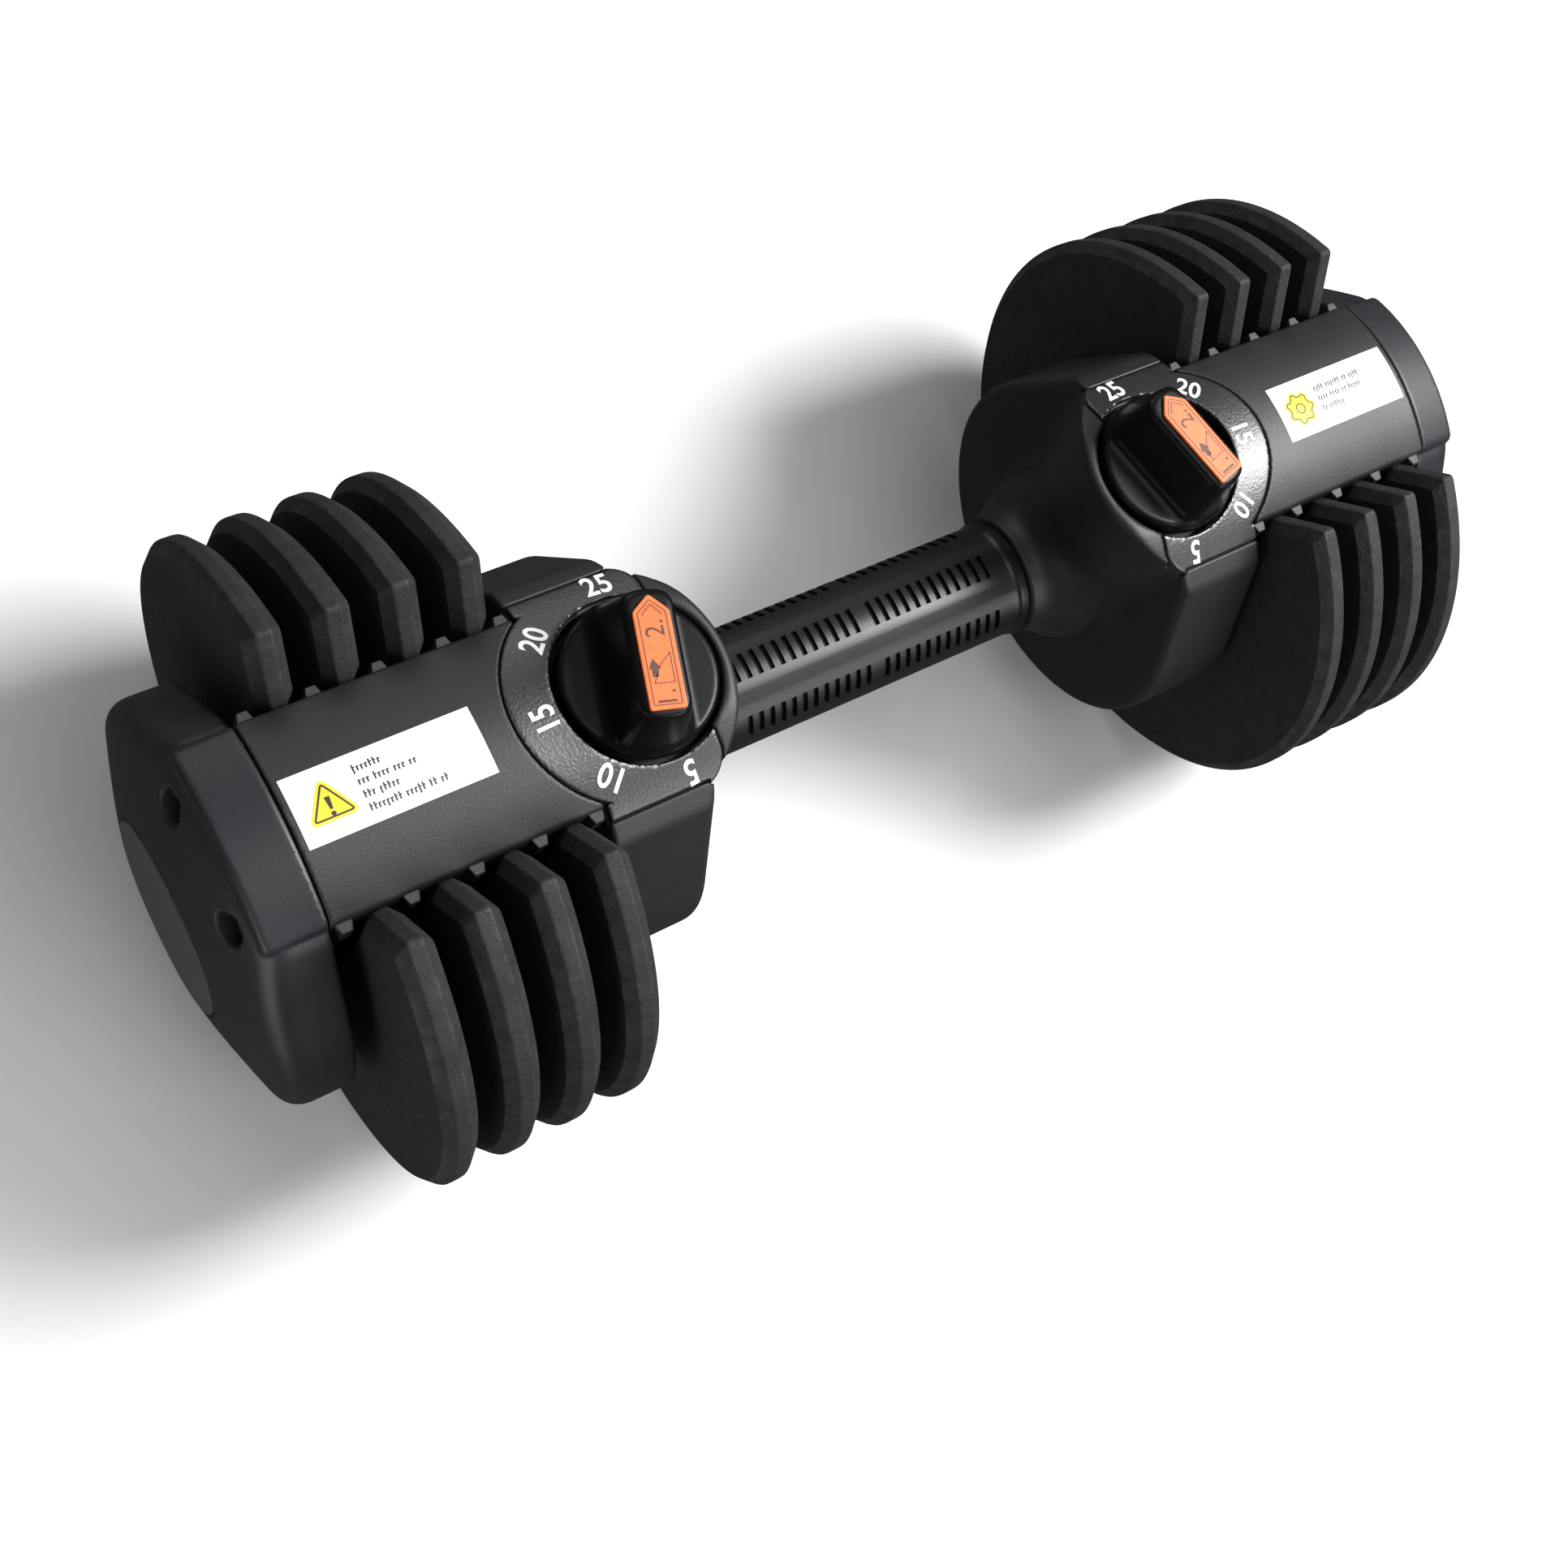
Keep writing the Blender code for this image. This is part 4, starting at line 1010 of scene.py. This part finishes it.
def word_strokes(lines, left, top, pitch, low, high):
    """Rows of small upright strokes in place of words; no stroke is a letter.

    `lines` holds the widths of each row's words. A stroke's rise and drop follow two fixed
    waves along the row, so heights differ as letters' do: most are short and the rest stand
    up or hang down.
    """
    shapes = []
    for row, words in enumerate(lines):
        x, y = left, top - pitch * row
        for width in words:
            for k in range(int(width / STROKE_PITCH)):
                rise = 0.55 * (math.sin(5.1 * k + 2.3 * row + width) > 0.45)
                drop = 0.45 * (math.sin(3.7 * k + 1.1 * row + width) > 0.80)
                shapes.append(sheet(x, x + STROKE, y - 1.25 - drop, y + rise, low, high, 2))
                shapes.append(sheet(x + STROKE, x + LINK, y - 0.35, y, low, high, 1))
                x += STROKE_PITCH
            x += WORD_GAP
    return shapes


# %% Labels
LABEL_LENGTH, LABEL_NEAR, LABEL_FAR = 44.0, -8.7, 8.1
MARK_LOW, MARK_HIGH = 0.19, 0.24
LABELS = {"left": (-165.0, [(7.4,), (3.7, 4.6, 3.7, 1.9), (3.7, 5.5), (8.3, 5.5, 1.9, 2.8)]),
          "right": (121.0, [(4.6, 6.4, 2.8, 4.6), (4.6, 4.6, 1.9, 5.5), (2.8, 6.4)])}
for side, (start, lines) in LABELS.items():
    film = sheet(start, start + LABEL_LENGTH, LABEL_NEAR, LABEL_FAR, 0.01, 0.14)
    make_piece(side + "_label_film", *draped(film), label_white, "frame", "charcoal", crease=30)
    centre = np.array([start + 7.8, -1.3 if side == "left" else -0.6])
    if side == "left":
        fill = triangle(6.9, 2.4)
        inner = close_set(triangle(5.6, 1.2)) + centre
        stroke = close_set(rounded([(-0.62, 2.1), (-0.32, -0.9), (0.32, -0.9), (0.62, 2.1)],
                                   0.2, 3))
        dot = cog(0.55, 0.0)
        marks = [band(inner, 0.42, MARK_LOW, MARK_HIGH),
                 domed(stroke + centre, centre + (0, 0.5), MARK_LOW, MARK_HIGH),
                 domed(dot + centre - (0, 1.9), centre - (0, 1.9), MARK_LOW, MARK_HIGH)]
    else:
        fill = cog(4.9, 0.45)
        marks = [band(cog(shape, wave) + centre, 0.36, MARK_LOW, MARK_HIGH)
                 for shape, wave in ((4.2, 0.45), (1.6, 0.0))]
    picture = domed(close_set(fill) + centre, centre, 0.12, 0.20)
    first_row = 4.8 if side == "left" else 3.8
    strokes = word_strokes(lines, start + 15.2, first_row, 3.15, 0.12, 0.16)
    make_piece(side + "_label_print", *draped(together(marks + strokes)), print_grey, "frame",
               "charcoal", crease=30)
    make_piece(side + "_label_picture", *draped(picture), print_yellow, "frame", "charcoal",
               crease=30)

# %% [markdown]
# ## Badge
# The round badge in the cap's face is left plain: a satin disc turned with a fine edge.

# %% Badge
BADGE_PROFILE = ((0.3, 188.3), (0.0, 188.5), (0.0, 189.35), (0.18, 189.62), (0.7, 189.75))
badge_outline = arc((0, BADGE_HEIGHT), 24.9, 0, 360, 120)[:-1]
badge = stacked(badge_outline, BADGE_PROFILE, 0)
for side, sign in SIDES.items():
    make_piece(side + "_badge_disc", *handed(*badge, sign), badge_grey, "frame", "badge",
               [side + "_end_badge"], crease=40)

# %% [markdown]
# ## Nodes that stay as they are
# The hidden works keep their CAD shapes and only take better finishes: zinc plate for the
# tube, rod and shafts, acetal for the discs, gears and lock, and black for the channel, the
# end plate and the cap's screws, which show a little between the plates and down the wells.
# Where they show there, the black is painted shade.

# %% Finishes for kept nodes
slot_of = {part["node"]: part["material_slot"] for part in frame["record"]["subparts"]}
KEPT = {"steel": steel, "nylon": acetal, "charcoal": charcoal, "cast": cast, "knob": knob_black,
        "orange": orange, "badge": badge_grey, "grip": grip_black}
# These take the near-black steel; between the plates and down the wells it is painted shade.
DARK = ("channel", "end_plate", "cap_screw_far", "cap_screw_near")
for name, node in frame["nodes"].items():
    finish = dark_steel_and_shade if name.split("_", 1)[-1] in DARK else KEPT[slot_of[name]]
    for place in node.material_slots:
        place.material = finish
print("kept nodes finished:", len(frame["nodes"]))

# %% [markdown]
# ## Camera, floor and light
# A long lens looks down on the dumbbell from its near left. The floor is plain and pale. Of
# the five soft square lamps the key does most of the work; the others lift the sides that it
# leaves dark. The floor is kept out of reflections, as it would grey the glossy knobs.


# %% Camera
camera_data = bpy.data.cameras.new("camera")
camera = bpy.data.objects.new("camera", camera_data)
bpy.context.scene.collection.objects.link(camera)
stand = Vector((-0.25476, -0.09546, 0.55840 + AXIS_HEIGHT))
right_way = Vector((0.7746, -0.4640, 0.4297)).normalized()
forward = Vector((0.5189, 0.0779, -0.8513)).normalized()
down_way = forward.cross(right_way).normalized()
turn = Matrix((right_way, -down_way, -forward)).transposed()
camera.matrix_world = Matrix.Translation(stand) @ turn.to_4x4()
camera_data.lens = 50.29
camera_data.sensor_width = 36.0
camera_data.shift_x = -0.2368
camera_data.shift_y = -0.0739
camera_data.clip_start = 0.01
bpy.context.scene.camera = camera


# %% Floor and lights
def lamp(name, place, aim, size, power):
    """A square area lamp, its side in metres and its power in watts, turned to face `aim`."""
    data = bpy.data.lights.new(name, "AREA")
    data.shape, data.size, data.energy = "SQUARE", size, power
    light = bpy.data.objects.new(name, data)
    light.location = place
    light.rotation_euler = (Vector(aim) - Vector(place)).to_track_quat("-Z", "Y").to_euler()
    bpy.context.scene.collection.objects.link(light)


floor_mesh = bpy.data.meshes.new("floor")
floor_mesh.from_pydata([(-4, -4, 0), (4, -4, 0), (4, 4, 0), (-4, 4, 0)], [], [(0, 1, 2, 3)])
floor_finish = Finish("pale floor", Roughness=0.8)
floor_finish.shader.inputs["Base Color"].default_value = (0.86, 0.86, 0.86, 1.0)
floor_mesh.materials.append(floor_finish.material)
floor = bpy.data.objects.new("floor", floor_mesh)
bpy.context.scene.collection.objects.link(floor)
lamp("key", (0.95, -0.22, 1.36), (0.02, 0, 0.08), 0.6, 40)
lamp("overhead", (0.10, -0.30, 1.55), (0, 0, 0.05), 1.1, 6)
lamp("near side", (0.45, -1.35, 0.65), (0, 0, 0.05), 0.8, 9)
lamp("far side", (0.10, 1.25, 0.90), (0, 0, 0.05), 0.8, 4)
lamp("left end", (-0.50, -0.20, 0.08), (-0.19, 0, 0.07), 0.3, 0.55)
floor.visible_glossy = False
world = bpy.data.worlds.new("studio")
world.use_nodes = True
world.node_tree.nodes["Background"].inputs["Color"].default_value = (1.0, 1.0, 1.0, 1.0)
world.node_tree.nodes["Background"].inputs["Strength"].default_value = 0.07
bpy.context.scene.world = world

bpy.context.scene.view_settings.view_transform = "Standard"
